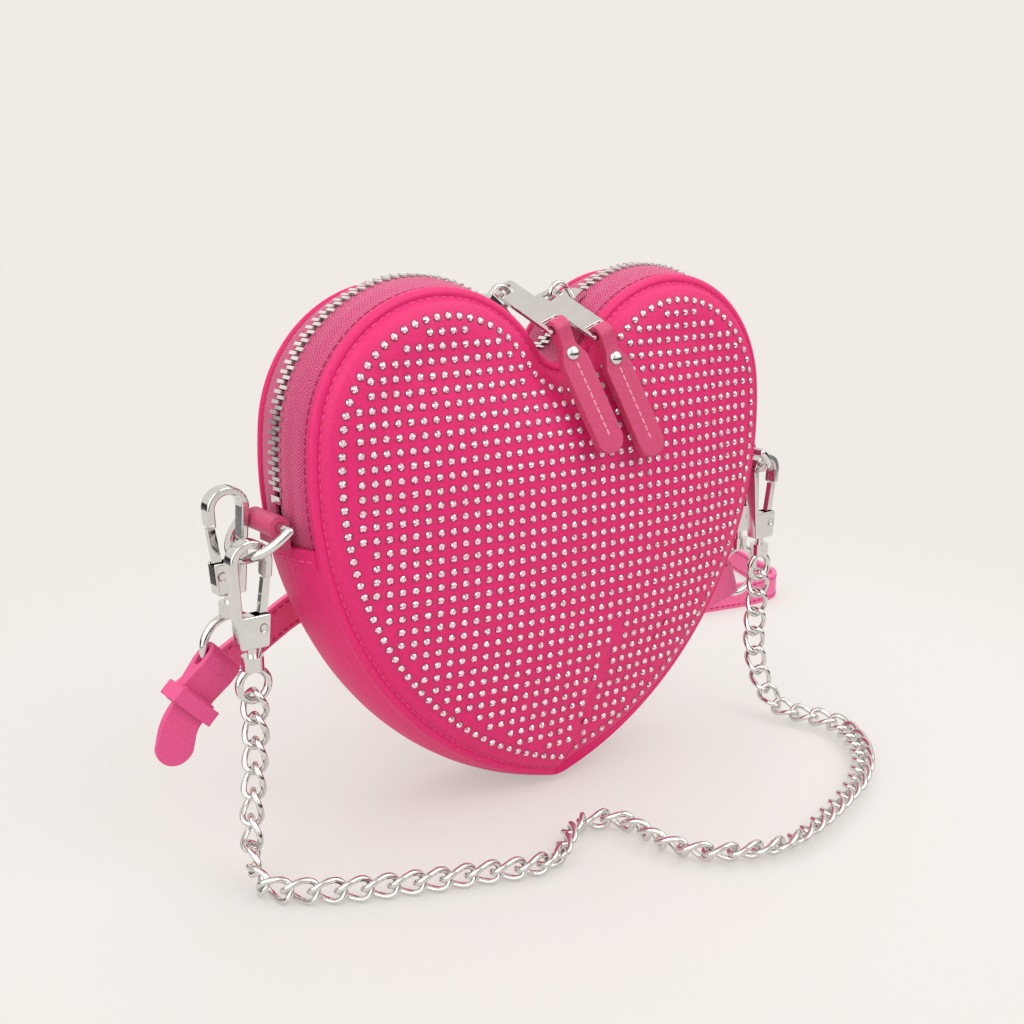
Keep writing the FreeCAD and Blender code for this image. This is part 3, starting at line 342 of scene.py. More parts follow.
DART_FOOT, DART_HEAD = Vector((0.5, 6.5)), Vector((17.5, 60.0))
DART_BELOW, DART_RIM = -0.2, 1.5
GROOVE_DEEP, GROOVE_WIDE = 2.0, 1.1
TUCK_DEEP, TUCK_NEAR, TUCK_FAR = 4.2, 3.0, 16.0


def by_dart(x, z):
    """How far up the dart a place lies, from 0 to 1, and how far to its right."""
    way = DART_HEAD - DART_FOOT
    place = Vector((x, z)) - DART_FOOT
    return place.dot(way) / way.length_squared, (place.x * way.y - place.y * way.x) / way.length


def dart_sink(x, z):
    """How far the dart draws the cloth in at a place on the panel."""
    share, side = by_dart(x, z)
    if share < DART_BELOW or share > 1.0:
        return 0.0
    ease = min(1.0, 1.0 - share)
    groove = GROOVE_DEEP * math.exp(-((side / GROOVE_WIDE) ** 2)) * ease ** 0.5
    tuck = 0.0
    if side > 0:
        tuck = TUCK_DEEP * ease * (1 - math.exp(-side / TUCK_NEAR)) * math.exp(-side / TUCK_FAR)
    return groove + tuck


FILL_PITCH, FILL_RISE, FILL_REACH, MIDDLE_Z = 3.0, 0.87, 40, 95.0


def fill_places(edge):
    """Places of an even spread inside an outline, clear of its edge."""
    rim = numpy.array(edge)
    places = []
    for row in range(-FILL_REACH, FILL_REACH + 1):
        for column in range(-FILL_REACH, FILL_REACH + 1):
            x = (column + 0.5 * (row % 2)) * FILL_PITCH
            z = MIDDLE_Z + row * FILL_PITCH * FILL_RISE
            if inside(x, z, edge) and numpy.hypot(rim[:, 0] - x, rim[:, 1] - z).min() > FILL_PITCH / 2:
                places.append((x, z))
    return places


def in_scene(name, data):
    """A new object, put in the scene."""
    thing = bpy.data.objects.new(name, data)
    bpy.context.collection.objects.link(thing)
    return thing


def as_piece(name, shape, finish, body, slot):
    """A finished piece made of a bmesh, riding on a body."""
    mesh = bpy.data.meshes.new(name)
    shape.to_mesh(mesh)
    mesh.materials.append(finish)
    piece = in_scene(name, mesh)
    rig.ride(piece, body)
    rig.slot(piece, slot)
    return piece


def panel(name, side, dart):
    """One panel: rings of the outline from the seam inward, and small triangles in the middle."""
    insets = [RING_FIRST + (RING_LAST - RING_FIRST) * k / RINGS for k in range(RINGS + 1)]
    cloth = bmesh.new()
    grid = [[cloth.verts.new((x, y, z)) for x, z in heart_ring(-inset)] for inset, y in RIM]
    for inset in insets:
        grid.append([cloth.verts.new((x, dome_rise(x, z, inset), z)) for x, z in heart_ring(-inset)])
    count = len(grid[0])
    for a, b in zip(grid, grid[1:]):
        for k in range(count):
            cloth.faces.new((a[k], a[(k + 1) % count], b[(k + 1) % count], b[k]))
    seam = numpy.array(heart_ring(0.0))
    middle = []
    for x, z in fill_places(heart_ring(-RING_LAST)):
        inset = numpy.hypot(seam[:, 0] - x, seam[:, 1] - z).min()
        middle.append(cloth.verts.new((x, dome_rise(x, z, inset), z)))
    known = grid[-1] + middle
    flat = [Vector((vert.co.x, vert.co.z)) for vert in known]
    _, _, corners, origins, _, _ = delaunay_2d_cdt(flat, [], [list(range(count))], 1, MERGE)
    for corner in corners:
        cloth.faces.new([known[origins[k][0]] for k in corner])
    soft = [vert for row in grid[len(RIM) + SOFT_FROM:] for vert in row] + middle
    for _ in range(SOFT_PASSES):
        bmesh.ops.smooth_vert(cloth, verts=soft, factor=0.5, use_axis_y=True)
    for vert in cloth.verts:
        x, y, z = vert.co
        sink = dart_sink(x, z) if dart and y > DART_RIM else 0.0
        vert.co = (x * MM, side * (HALF_DEPTH + y - sink) * MM, z * MM)
    bmesh.ops.recalc_face_normals(cloth, faces=cloth.faces)
    if sum(face.normal.y for face in cloth.faces) * side < 0:
        bmesh.ops.reverse_faces(cloth, faces=cloth.faces)
    for face in cloth.faces:
        face.smooth = True
    return as_piece(name, cloth, satin, "purse", "shell")


front_cloth = panel("front_cloth", -1, True)
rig.replaces(front_cloth, "front_panel")
back_cloth = panel("back_cloth", 1, False)
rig.replaces(back_cloth, "back_panel")

# Crystals: small faceted glass stones in dark foil settings, glued on the front in a square field.
# One row follows the outline, the dart stays bare, and every stone is turned differently.
# A node group sets a small shape on every point; stones, stitches and links all use it.
repeat = bpy.data.node_groups.new("repeat_on_points", "GeometryNodeTree")
repeat.interface.new_socket("Points", in_out="INPUT", socket_type="NodeSocketGeometry")
shape_in = repeat.interface.new_socket("Shape", in_out="INPUT", socket_type="NodeSocketObject")
size_in = repeat.interface.new_socket("Size", in_out="INPUT", socket_type="NodeSocketFloat")
spin_in = repeat.interface.new_socket("Random spin", in_out="INPUT", socket_type="NodeSocketFloat")
finish_in = repeat.interface.new_socket("Finish", in_out="INPUT", socket_type="NodeSocketMaterial")
repeat.interface.new_socket("Pieces", in_out="OUTPUT", socket_type="NodeSocketGeometry")
group_in = repeat.nodes.new("NodeGroupInput")
group_out = repeat.nodes.new("NodeGroupOutput")
facing = repeat.nodes.new("GeometryNodeInputNamedAttribute")
facing.data_type = "FLOAT_VECTOR"
facing.inputs["Name"].default_value = "facing"
along = repeat.nodes.new("GeometryNodeInputNamedAttribute")
along.data_type = "FLOAT_VECTOR"
along.inputs["Name"].default_value = "along"
stand = repeat.nodes.new("FunctionNodeAlignRotationToVector")
stand.axis = "Z"
turn = repeat.nodes.new("FunctionNodeAlignRotationToVector")
turn.axis = "X"
turn.pivot_axis = "Z"
spin = repeat.nodes.new("FunctionNodeRandomValue")
spin.data_type = "FLOAT"
spin_axis = repeat.nodes.new("FunctionNodeAxisAngleToRotation")
spin_axis.inputs["Axis"].default_value = (0.0, 0.0, 1.0)
spun = repeat.nodes.new("FunctionNodeRotateRotation")
spun.rotation_space = "LOCAL"
shape_info = repeat.nodes.new("GeometryNodeObjectInfo")
copies = repeat.nodes.new("GeometryNodeInstanceOnPoints")
real = repeat.nodes.new("GeometryNodeRealizeInstances")
paint = repeat.nodes.new("GeometryNodeSetMaterial")
join(
    repeat,
    (group_in, "Points", copies, "Points"),
    (group_in, "Shape", shape_info, "Object"),
    (shape_info, "Geometry", copies, "Instance"),
    (facing, "Attribute", stand, "Vector"),
    (stand, "Rotation", turn, "Rotation"),
    (along, "Attribute", turn, "Vector"),
    (group_in, "Random spin", spin, 3),
    (spin, 1, spin_axis, "Angle"),
    (turn, "Rotation", spun, "Rotation"),
    (spin_axis, "Rotation", spun, "Rotate By"),
    (spun, "Rotation", copies, "Rotation"),
    (group_in, "Size", copies, "Scale"),
    (copies, "Instances", real, "Geometry"),
    (real, "Geometry", paint, "Geometry"),
    (group_in, "Finish", paint, "Material"),
    (paint, "Geometry", group_out, "Pieces"),
)


def set_repeats(name, points, facings, alongs, shape, size, spin_most, finish, body, slot):
    """A piece of real copies of a shape, one on each point. With no body, it is blended afterwards."""
    cloud = bpy.data.meshes.new(name + "_points")
    cloud.from_pydata(points, [], [])
    for label, values in (("facing", facings), ("along", alongs)):
        layer = cloud.attributes.new(label, "FLOAT_VECTOR", "POINT")
        layer.data.foreach_set("vector", [c for value in values for c in value])
    holder = in_scene(name + "_holder", cloud)
    modifier = holder.modifiers.new("repeat", "NODES")
    modifier.node_group = repeat
    modifier[shape_in.identifier] = shape
    modifier[size_in.identifier] = size
    modifier[spin_in.identifier] = spin_most
    modifier[finish_in.identifier] = finish
    solid = bpy.data.meshes.new_from_object(holder.evaluated_get(bpy.context.evaluated_depsgraph_get()))
    piece = in_scene(name, solid)
    bpy.data.objects.remove(holder)
    if body:
        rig.ride(piece, body)
    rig.slot(piece, slot)
    return piece


def lathe(name, profile, sides, smooth):
    """A small closed shape turned about Z, used as the seed of a repeat and then taken away."""
    verts = []
    faces = []
    for radius, height in profile:
        for k in range(sides):
            angle = 2 * math.pi * (k + 0.5) / sides
            verts.append((radius * math.cos(angle), radius * math.sin(angle), height))
    for ring in range(len(profile) - 1):
        for k in range(sides):
            a = ring * sides + k
            b = ring * sides + (k + 1) % sides
            faces.append((a, b, b + sides, a + sides))
    faces.append(tuple(range((len(profile) - 1) * sides, len(profile) * sides)))
    faces.append(tuple(range(sides))[::-1])
    mesh = bpy.data.meshes.new(name)
    mesh.from_pydata(verts, [], faces)
    for face in mesh.polygons:
        face.use_smooth = smooth
    seed = in_scene(name, mesh)
    return seed


def spaced(ring, pitch):
    """Places at an even pitch along a closed outline, with the way along it."""
    places = [Vector(point) for point in ring]
    lengths = [0.0]
    for a, b in zip(places, places[1:] + places[:1]):
        lengths.append(lengths[-1] + (b - a).length)
    count = round(lengths[-1] / pitch)
    spots = []
    index = 0
    for k in range(count):
        run = lengths[-1] * k / count
        while lengths[index + 1] < run:
            index += 1
        a = places[index]
        b = places[(index + 1) % len(places)]
        share = (run - lengths[index]) / (lengths[index + 1] - lengths[index])
        spots.append((a + (b - a) * share, (b - a).normalized()))
    return spots


PLATE_GRAIN, PLATE_LOW, PLATE_HIGH = 260.0, 0.96, 1.03


def plated(name, colour, smoothest, roughest, metallic):
    """Foil or plated metal, a little uneven from handling, with the grain in its roughness too."""
    material, tree, shader = new_look(name)
    shader.inputs["Metallic"].default_value = metallic
    fine = grained(tree, colour, PLATE_GRAIN, PLATE_LOW, PLATE_HIGH)
    wear = tree.nodes.new("ShaderNodeMapRange")
    wear.inputs["From Min"].default_value = GRAIN_FROM
    wear.inputs["From Max"].default_value = GRAIN_TO
    wear.inputs["To Min"].default_value = smoothest
    wear.inputs["To Max"].default_value = roughest
    tree.links.new(fine.outputs["Height"], wear.inputs["Value"])
    tree.links.new(wear.outputs["Result"], shader.inputs["Roughness"])
    return material


STONE_R, STONE_SIDES, STONE_PITCH_X, STONE_PITCH_Z, STONE_REACH = 1.2, 8, 4.15, 4.3, 24
STONE_ROW_INSET, STONE_ROW_PITCH, STONE_FIELD_INSET = 8.3, 4.0, 11.4
BARE_BELOW, BARE_ABOVE, BARE_WIDE = -0.1, 0.98, 1.7
STONE_PROFILE = ((1.0, -0.15), (1.0, 0.14), (0.95, 0.22), (0.55, 0.58), (0.1, 0.68))
SETTING_PROFILE = ((1.17, -0.2), (1.17, 0.06), (0.96, 0.12))
# Painted light on the stones: each facet gets its own brightness in the colour, a painted glint on some facets and
# painted shade on others.
GIRDLE_PAINTED_LIGHT, BEVEL_PAINTED_LIGHT, BASE_PAINTED_LIGHT = 0.1, 0.3, 0.1
LOWER_PAINTED_LIGHTS = (0.95, 0.4, 0.85, 0.2, 1.0, 0.35, 0.7, 0.1)
UPPER_PAINTED_LIGHTS = (0.75, 1.0, 0.6, 0.95, 0.35, 0.8, 1.0, 0.5)
TABLE_PAINTED_LIGHT = 0.9
CAST_REACH = 0.1

stone_field = heart_ring(-STONE_FIELD_INSET)
stone_spots = [spot for spot, _ in spaced(heart_ring(-STONE_ROW_INSET), STONE_ROW_PITCH)]
for row in range(-STONE_REACH, STONE_REACH + 1):
    for column in range(-STONE_REACH, STONE_REACH + 1):
        x = column * STONE_PITCH_X
        z = MIDDLE_Z + row * STONE_PITCH_Z
        if inside(x, z, stone_field):
            stone_spots.append((x, z))
front_tree = BVHTree.FromObject(front_cloth, bpy.context.evaluated_depsgraph_get())
stone_places = []
stone_facings = []
for x, z in stone_spots:
    share, side = by_dart(x, z)
    if BARE_BELOW < share < BARE_ABOVE and abs(side) < BARE_WIDE:
        continue
    spot, normal, _, _ = front_tree.ray_cast(Vector((x * MM, -CAST_REACH, z * MM)), Vector((0, 1, 0)))
    stone_places.append(spot)
    stone_facings.append(normal if normal.y < 0 else -normal)

crystal, crystal_tree, crystal_shader = new_look("crystal")
crystal_shader.inputs["Roughness"].default_value = 0.06
crystal_shader.inputs["Coat Weight"].default_value = 0.6
crystal_shader.inputs["Coat Roughness"].default_value = 0.02
crystal_shader.inputs["Metallic"].default_value = 0.4
# The stone's colour follows its facet's painted light: the dark end is painted shade, the white end a painted
# highlight, and the pink between is the stones' own tone.
crystal_painted_light = crystal_tree.nodes.new("ShaderNodeAttribute")
crystal_painted_light.attribute_name = "painted_facet_light"
crystal_painted_light_ramp = crystal_tree.nodes.new("ShaderNodeValToRGB")
crystal_painted_light_ramp.color_ramp.elements[0].color = (0.3, 0.035, 0.08, 1.0)
crystal_painted_light_ramp.color_ramp.elements[1].color = (1.0, 0.92, 0.93, 1.0)
crystal_painted_light_ramp.color_ramp.elements.new(0.55).color = (0.88, 0.46, 0.55, 1.0)
crystal_tree.links.new(crystal_painted_light.outputs["Fac"], crystal_painted_light_ramp.inputs["Fac"])
crystal_tree.links.new(crystal_painted_light_ramp.outputs["Color"], crystal_shader.inputs["Base Color"])
foil = plated("foil", (0.12, 0.012, 0.03), 0.3, 0.4, 0.0)

stone_seed = lathe("stone_seed", STONE_PROFILE, STONE_SIDES, False)
# Every facet of the seed gets its painted light in turn: girdle, bevel, lower and upper crown facets, table and base.
stone_painted_lights = (GIRDLE_PAINTED_LIGHT,) * STONE_SIDES + (BEVEL_PAINTED_LIGHT,) * STONE_SIDES
stone_painted_lights += LOWER_PAINTED_LIGHTS + UPPER_PAINTED_LIGHTS + (TABLE_PAINTED_LIGHT, BASE_PAINTED_LIGHT)
stone_seed.data.attributes.new("painted_facet_light", "FLOAT", "FACE").data.foreach_set("value", stone_painted_lights)
rim_seed = lathe("rim_seed", SETTING_PROFILE, STONE_SIDES, True)
across = [(1.0, 0.0, 0.0)] * len(stone_places)
for name, seed, most, finish in (
    ("crystals", stone_seed, math.tau, crystal),
    ("stone_rims", rim_seed, 0.0, foil),
):
    set_repeats(
        name, stone_places, stone_facings, across, seed, STONE_R * MM, most, finish, "purse", "shell"
    )
    bpy.data.objects.remove(seed)

# Edge stitches: a row of bright pink thread in the sewn groove of each panel, which holds the turned rim.
# One short rounded stitch is the seed of every sewn row on the purse.
STITCH_PROFILE = ((0.22, -0.5), (0.34, -0.3), (0.34, 0.3), (0.22, 0.5))
STITCH_SIDES, STITCH_LONG, STITCH_PITCH, STITCH_INSET = 6, 2.1, 2.9, 3.1
thread_light = pink_cloth("thread_light", (0.85, 0.06, 0.28), 0.6, 0.0, 500.0, 0.2)
stitch_seed = lathe("stitch_seed", STITCH_PROFILE, STITCH_SIDES, True)
for vertex in stitch_seed.data.vertices:
    x, y, z = vertex.co
    vertex.co = (z * STITCH_LONG, -y, x)
for name, side, cloth in (("front_stitches", -1, front_cloth), ("back_stitches", 1, back_cloth)):
    tree = BVHTree.FromObject(cloth, bpy.context.evaluated_depsgraph_get())
    spots = []
    facings = []
    alongs = []
    for place, way in spaced(heart_ring(-STITCH_INSET), STITCH_PITCH):
        start = Vector((place.x * MM, side * CAST_REACH, place.y * MM))
        spot, normal, _, _ = tree.ray_cast(start, Vector((0, -side, 0)))
        spots.append(spot)
        facings.append(normal if normal.y * side > 0 else -normal)
        alongs.append((way.x, 0.0, way.y))
    set_repeats(name, spots, facings, alongs, stitch_seed, MM, 0.0, thread_light, "purse", "shell")

# Zip tapes: two woven strips with a herringbone rib, sewn in under the panels' rims over both lobes.
# Each strip is a closed band whose map counts millimetres along and across the tape.
GUSSET_TOP = 97.0
TAPE_SINK, TAPE_THICK, TAPE_SLOT, TAPE_ROWS = 1.2, 0.9, 1.6, 10
RIB_WIDE, RIB_RATE, RIB_STRENGTH, RIB_RELIEF = 2.7, 5.6, 0.8, 0.0003


def bulge_at(y):
    """How far the gusset and the tapes stand out between the seams."""
    return BULGE * (1 - (y / HALF_DEPTH) ** 2)


def zip_line(grow):
    """The outline over the top, from the right end of the zip to the left end."""
    half = []
    outline = heart_half(grow)
    for (x1, z1), (x2, z2) in zip(outline, outline[1:]):
        half.append((x1, z1))
        if z2 < GUSSET_TOP:
            share = (z1 - GUSSET_TOP) / (z1 - z2)
            half.append((x1 + (x2 - x1) * share, GUSSET_TOP))
            break
    return half[::-1] + [(-x, z) for x, z in half[1:]]


weave, weave_tree, weave_shader = new_look("tape_weave")
weave_shader.inputs["Roughness"].default_value = 0.7
weave_shader.inputs["Sheen Weight"].default_value = 0.2
weave_map = weave_tree.nodes.new("ShaderNodeUVMap")
weave_map.uv_map = "weave"
weave_split = weave_tree.nodes.new("ShaderNodeSeparateXYZ")
weave_tree.links.new(weave_map.outputs["UV"], weave_split.inputs[0])
weave_steps = []
for operation, value in (("PINGPONG", RIB_WIDE), ("ADD", 0.0), ("MULTIPLY", RIB_RATE), ("SINE", 0.0)):
    step = weave_tree.nodes.new("ShaderNodeMath")
    step.operation = operation
    step.inputs[1].default_value = value
    if weave_steps:
        weave_tree.links.new(weave_steps[-1].outputs["Value"], step.inputs[0])
    weave_steps.append(step)
weave_tree.links.new(weave_split.outputs["Y"], weave_steps[0].inputs[0])
weave_tree.links.new(weave_split.outputs["X"], weave_steps[1].inputs[1])
weave_ramp = weave_tree.nodes.new("ShaderNodeMapRange")
weave_ramp.inputs["From Min"].default_value = -1.0
# The tape's pink, darker where the rib sinks: the dark end of this ramp is painted shade in the rib's troughs.
weave_pink_and_painted_shade = weave_tree.nodes.new("ShaderNodeValToRGB")
weave_pink_and_painted_shade.color_ramp.elements[0].color = (0.46, 0.018, 0.12, 1.0)
weave_pink_and_painted_shade.color_ramp.elements[1].color = (0.7, 0.08, 0.22, 1.0)
weave_pink_and_painted_shade.color_ramp.elements[1].position = 0.7
weave_bump = weave_tree.nodes.new("ShaderNodeBump")
weave_bump.inputs["Strength"].default_value = RIB_STRENGTH
weave_bump.inputs["Distance"].default_value = RIB_RELIEF
weave_tree.links.new(weave_steps[-1].outputs["Value"], weave_ramp.inputs["Value"])
join(
    weave_tree,
    (weave_ramp, "Result", weave_pink_and_painted_shade, "Fac"),
    (weave_ramp, "Result", weave_bump, "Height"),
    (weave_pink_and_painted_shade, "Color", weave_shader, "Base Color"),
    (weave_bump, "Normal", weave_shader, "Normal"),
)

dress("tape", satin)
for name, side in (("zip_tape_front", -1), ("zip_tape_back", 1)):
    reaches = [TAPE_SLOT + (HALF_DEPTH - TAPE_SLOT) * k / TAPE_ROWS for k in range(TAPE_ROWS + 1)]
    profile = [(y, bulge_at(y) - TAPE_SINK) for y in reaches]
    profile += [(y, bulge_at(y) - TAPE_SINK - TAPE_THICK) for y in reaches[::-1]]
    lines = [zip_line(grow) for _, grow in profile]
    runs = [0.0]
    for (x1, z1), (x2, z2) in zip(lines[0], lines[0][1:]):
        runs.append(runs[-1] + math.hypot(x2 - x1, z2 - z1))
    tape = bmesh.new()
    weave_uv = tape.loops.layers.uv.new("weave")
    grid = []
    for (y, _), line in zip(profile, lines):
        grid.append([tape.verts.new((x * MM, side * y * MM, z * MM)) for x, z in line])
    rows = len(grid)
    for r in range(rows):
        for k in range(len(runs) - 1):
            corners = ((r, k), (r, k + 1), ((r + 1) % rows, k + 1), ((r + 1) % rows, k))
            face = tape.faces.new([grid[i][j] for i, j in corners])
            face.smooth = r % (TAPE_ROWS + 1) < TAPE_ROWS
            for loop, (i, j) in zip(face.loops, corners):
                loop[weave_uv].uv = (runs[j], profile[i][0])
    tape.faces.new([row[0] for row in grid])
    tape.faces.new([row[-1] for row in grid])
    bmesh.ops.recalc_face_normals(tape, faces=tape.faces)
    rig.replaces(as_piece(name + "_woven", tape, weave, "purse", "tape"), name)

# Tape stitches: one row of deep pink thread on each tape beside the panel's rim.
# It sews the tape in, so the stitches follow the line of the zip from end to end.
TAPE_ROW, TAPE_LEAN = 13.0, 0.4
thread_deep = pink_cloth("thread_deep", (0.5, 0.008, 0.11), 0.6, 0.0, 500.0, 0.2)


def steps_along(line, pitch):
    """Places at an even pitch along an open line, with the way along it."""
    left_over = 0.0
    for a, b in zip(line, line[1:]):
        way = (b - a).normalized()
        run = left_over
        while run < (b - a).length:
            yield a + way * run, way
            run += pitch
        left_over = run - (b - a).length


for name, side in (("tape_stitches_front", -1), ("tape_stitches_back", 1)):
    spots = []
    facings = []
    alongs = []
    line = [Vector(point) for point in zip_line(bulge_at(TAPE_ROW) - TAPE_SINK)]
    for place, way in steps_along(line, STITCH_PITCH):
        spots.append((place.x * MM, side * TAPE_ROW * MM, place.y * MM))
        facings.append((way.y, side * TAPE_LEAN, -way.x))
        alongs.append((way.x, 0.0, way.y))
    set_repeats(name, spots, facings, alongs, stitch_seed, MM, 0.0, thread_deep, "purse", "tape")

# Zip metal: teeth clamped on the tapes, stops at both ends and two sliders, all nickel plated.
# They are the CAD pieces themselves, and the teeth are duller than the polished rest.
nickel = plated("nickel", (0.72, 0.71, 0.69), 0.06, 0.12, 1.0)
tooth_metal = plated("tooth_metal", (0.9, 0.89, 0.87), 0.32, 0.44, 1.0)
dress("metal", nickel)
for name in ("zip_teeth_front", "zip_teeth_back"):
    nodes[name].data.materials[0] = tooth_metal

# Gusset and lining: a satin strip sewn between the panels round the lower sides, and plain cloth inside.
# Each end of the strip has a turned hem below the zip, with a sewn row across it.
HEM_PROFILE = ((97.1, -0.3), (97.1, 0.45), (96.7, 0.75), (92.0, 0.75), (91.4, 0.5), (91.2, -0.3))
HEM_HALF, HEM_STEPS = 14.5, 16
HEM_ROW, HEM_PROUD, HEM_STITCHES, HEM_PITCH = 93.4, 0.72, 10, 2.8
HEM_TURN, HEM_DROOP = 0.03, -0.2
lining_cloth = pink_cloth("lining_cloth", (0.4, 0.01, 0.1), 0.8, 0.2, 1500.0, 0.0)
dress("lining", lining_cloth)


def gusset_x(y, z, proud):
    """How far out the gusset lies at a height, or something proud of it."""
    reach = SIDE_R + bulge_at(y) + proud
    return SIDE_X + math.sqrt(reach ** 2 - (z - LOBE_Z + SIDE_FALL) ** 2)


for name, side in (("left", -1), ("right", 1)):
    hem = bmesh.new()
    grid = []
    for k in range(HEM_STEPS + 1):
        y = -HEM_HALF + 2 * HEM_HALF * k / HEM_STEPS
        ring = [(side * gusset_x(y, z, proud) * MM, y * MM, z * MM) for z, proud in HEM_PROFILE]
        grid.append([hem.verts.new(place) for place in ring])
    count = len(HEM_PROFILE)
    for a, b in zip(grid, grid[1:]):
        for k in range(count):
            hem.faces.new((a[k], a[(k + 1) % count], b[(k + 1) % count], b[k]))
    hem.faces.new(grid[0])
    hem.faces.new(grid[-1])
    bmesh.ops.recalc_face_normals(hem, faces=hem.faces)
    as_piece("gusset_hem_" + name, hem, satin, "purse", "shell")
    rows = [HEM_PITCH * (k - (HEM_STITCHES - 1) / 2) for k in range(HEM_STITCHES)]
    spots = [(side * gusset_x(y, HEM_ROW, HEM_PROUD) * MM, y * MM, HEM_ROW * MM) for y in rows]
    facings = [(side, y * HEM_TURN, HEM_DROOP) for y in rows]
    alongs = [(0.0, 1.0, 0.0)] * len(rows)
    set_repeats(
        "hem_stitches_" + name, spots, facings, alongs, stitch_seed, MM, 0.0, thread_light, "purse", "shell"
    )

# Zip pulls and side tabs: grained leather, folded round the pulls' nickel plates and the D-rings' bars.
# A rivet and one sewn line close each pull tab. Plates and pull tabs have slightly rounded edges.
TAB_WAY = Vector((0.35, -0.22, -0.91)).normalized()
TAB_FACE, TAB_FIRST, TAB_LAST, TAB_PITCH = 1.8, 13.5, 40.0, 2.6
PLATE_EASE, TAB_EASE = 0.25, 0.35
FLAT_ANGLE = math.radians(0.5)
EASE_STEPS, EASE_ANGLE = 3, math.radians(40)
trim_leather = pink_cloth("trim_leather", (0.6, 0.06, 0.16), 0.45, 0.5, 900.0, 0.1)
thread_pale = pink_cloth("thread_pale", (0.9, 0.33, 0.45), 0.6, 0.0, 500.0, 0.2)
dress("trim", trim_leather)
for joint in frame["joints"]:
    if not joint["name"].startswith("tab_"):
        continue
    name = joint["child"]
    seat = Vector(joint["pos_m"])
    out = TAB_WAY.cross(-Vector(joint["axis"]))
    count = int((TAB_LAST - TAB_FIRST) / TAB_PITCH)
    spots = [seat + TAB_WAY * (TAB_FIRST + TAB_PITCH * k) * MM + out * TAB_FACE * MM for k in range(count)]
    facings = [out] * count
    alongs = [TAB_WAY] * count
    set_repeats(
        name + "_stitches", spots, facings, alongs, stitch_seed, MM, 0.0, thread_pale, name, "trim"
    )


def eased(name, width, finish, slot):
    """A copy of a CAD piece with its sharp edges rounded off, which stands for it."""
    cut = bmesh.new()
    cut.from_mesh(nodes[name].data)
    bmesh.ops.remove_doubles(cut, verts=cut.verts, dist=MERGE)
    bmesh.ops.dissolve_limit(cut, angle_limit=FLAT_ANGLE, verts=cut.verts, edges=cut.edges)
    for face in cut.faces:
        face.smooth = True
    mesh = bpy.data.meshes.new(name + "_cut")
    cut.to_mesh(mesh)
    blank = in_scene(name + "_cut", mesh)
    bevel = blank.modifiers.new("ease", "BEVEL")
    bevel.width = width * MM
    bevel.segments = EASE_STEPS
    bevel.use_clamp_overlap = False
    bevel.limit_method = "ANGLE"
    bevel.angle_limit = EASE_ANGLE
    blank.modifiers.new("even", "WEIGHTED_NORMAL")
    solid = bpy.data.meshes.new_from_object(blank.evaluated_get(bpy.context.evaluated_depsgraph_get()))
    bpy.data.objects.remove(blank)
    solid.materials.clear()
    solid.materials.append(finish)
    piece = in_scene(name + "_eased", solid)
    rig.slot(piece, slot)
    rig.replaces(piece, name)
    return piece


for side in ("left", "right"):
    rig.ride(eased("pull_plate_" + side, PLATE_EASE, nickel, "metal"), "pull_" + side)
    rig.ride(eased("pull_tab_" + side, TAB_EASE, trim_leather, "trim"), "tab_" + side)

# Rings and hooks: D-rings of round wire, and four cast snap hooks with a sprung gate and a turning eye.
# The cast bodies have rounded edges, which catch the light. Rings, gates, pins and eyes are the CAD pieces.
HOOK_EASE = 0.6
for side in ("left", "right"):
    for use in ("chain", "strap"):
        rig.ride(eased(f"{side}_{use}_hook_body", HOOK_EASE, nickel, "metal"), "ring_" + side)

# Chain: polished curb links, each an oval of round wire with a quarter twist, so that all lie the same way.
# Every link of the CAD chain gives the place and the direction of one of these.
# The drops bend between the purse and the rings, and the end links turn with the hooks' eyes.
CHAIN = ("chain_left_drop", "chain_floor", "chain_right_drop")
LINK_LONG, LINK_WIDE, LINK_WIRE, LINK_SQUARE = 12.0, 8.9, 1.9, 2.4
LINK_STEPS, WIRE_SIDES, LINK_TWIST = 32, 10, -math.pi / 4
WAY_REACH = 0.2


def oval(share):
    """A place on a link's middle line, with the way its twisted face looks."""
    angle = math.tau * share
    run = math.copysign(abs(math.cos(angle)) ** (2 / LINK_SQUARE), math.cos(angle))
    reach = math.copysign(abs(math.sin(angle)) ** (2 / LINK_SQUARE), math.sin(angle))
    twist = run * LINK_TWIST
    reach *= (LINK_WIDE - LINK_WIRE) / 2
    place = Vector((run * (LINK_LONG - LINK_WIRE) / 2, reach * math.cos(twist), reach * math.sin(twist)))
    return place, Vector((0.0, -math.sin(twist), math.cos(twist)))


link_shape = bmesh.new()
wire_rings = []
for k in range(LINK_STEPS):
    place, face = oval((k + 0.5) / LINK_STEPS)
    way = oval((k + 0.5 + WAY_REACH) / LINK_STEPS)[0] - oval((k + 0.5 - WAY_REACH) / LINK_STEPS)[0]
    out = way.cross(face).normalized()
    up = out.cross(way).normalized()
    ring = []
    for side in range(WIRE_SIDES):
        angle = math.tau * side / WIRE_SIDES
        outward = out * math.cos(angle) + up * math.sin(angle)
        ring.append(link_shape.verts.new(place + outward * LINK_WIRE / 2))
    wire_rings.append(ring)
for a, b in zip(wire_rings, wire_rings[1:] + wire_rings[:1]):
    for side in range(WIRE_SIDES):
        beyond = (side + 1) % WIRE_SIDES
        link_shape.faces.new((a[side], b[side], b[beyond], a[beyond])).smooth = True
bmesh.ops.recalc_face_normals(link_shape, faces=link_shape.faces)
link_mesh = bpy.data.meshes.new("link_seed")
link_shape.to_mesh(link_mesh)
link_seed = in_scene("link_seed", link_mesh)

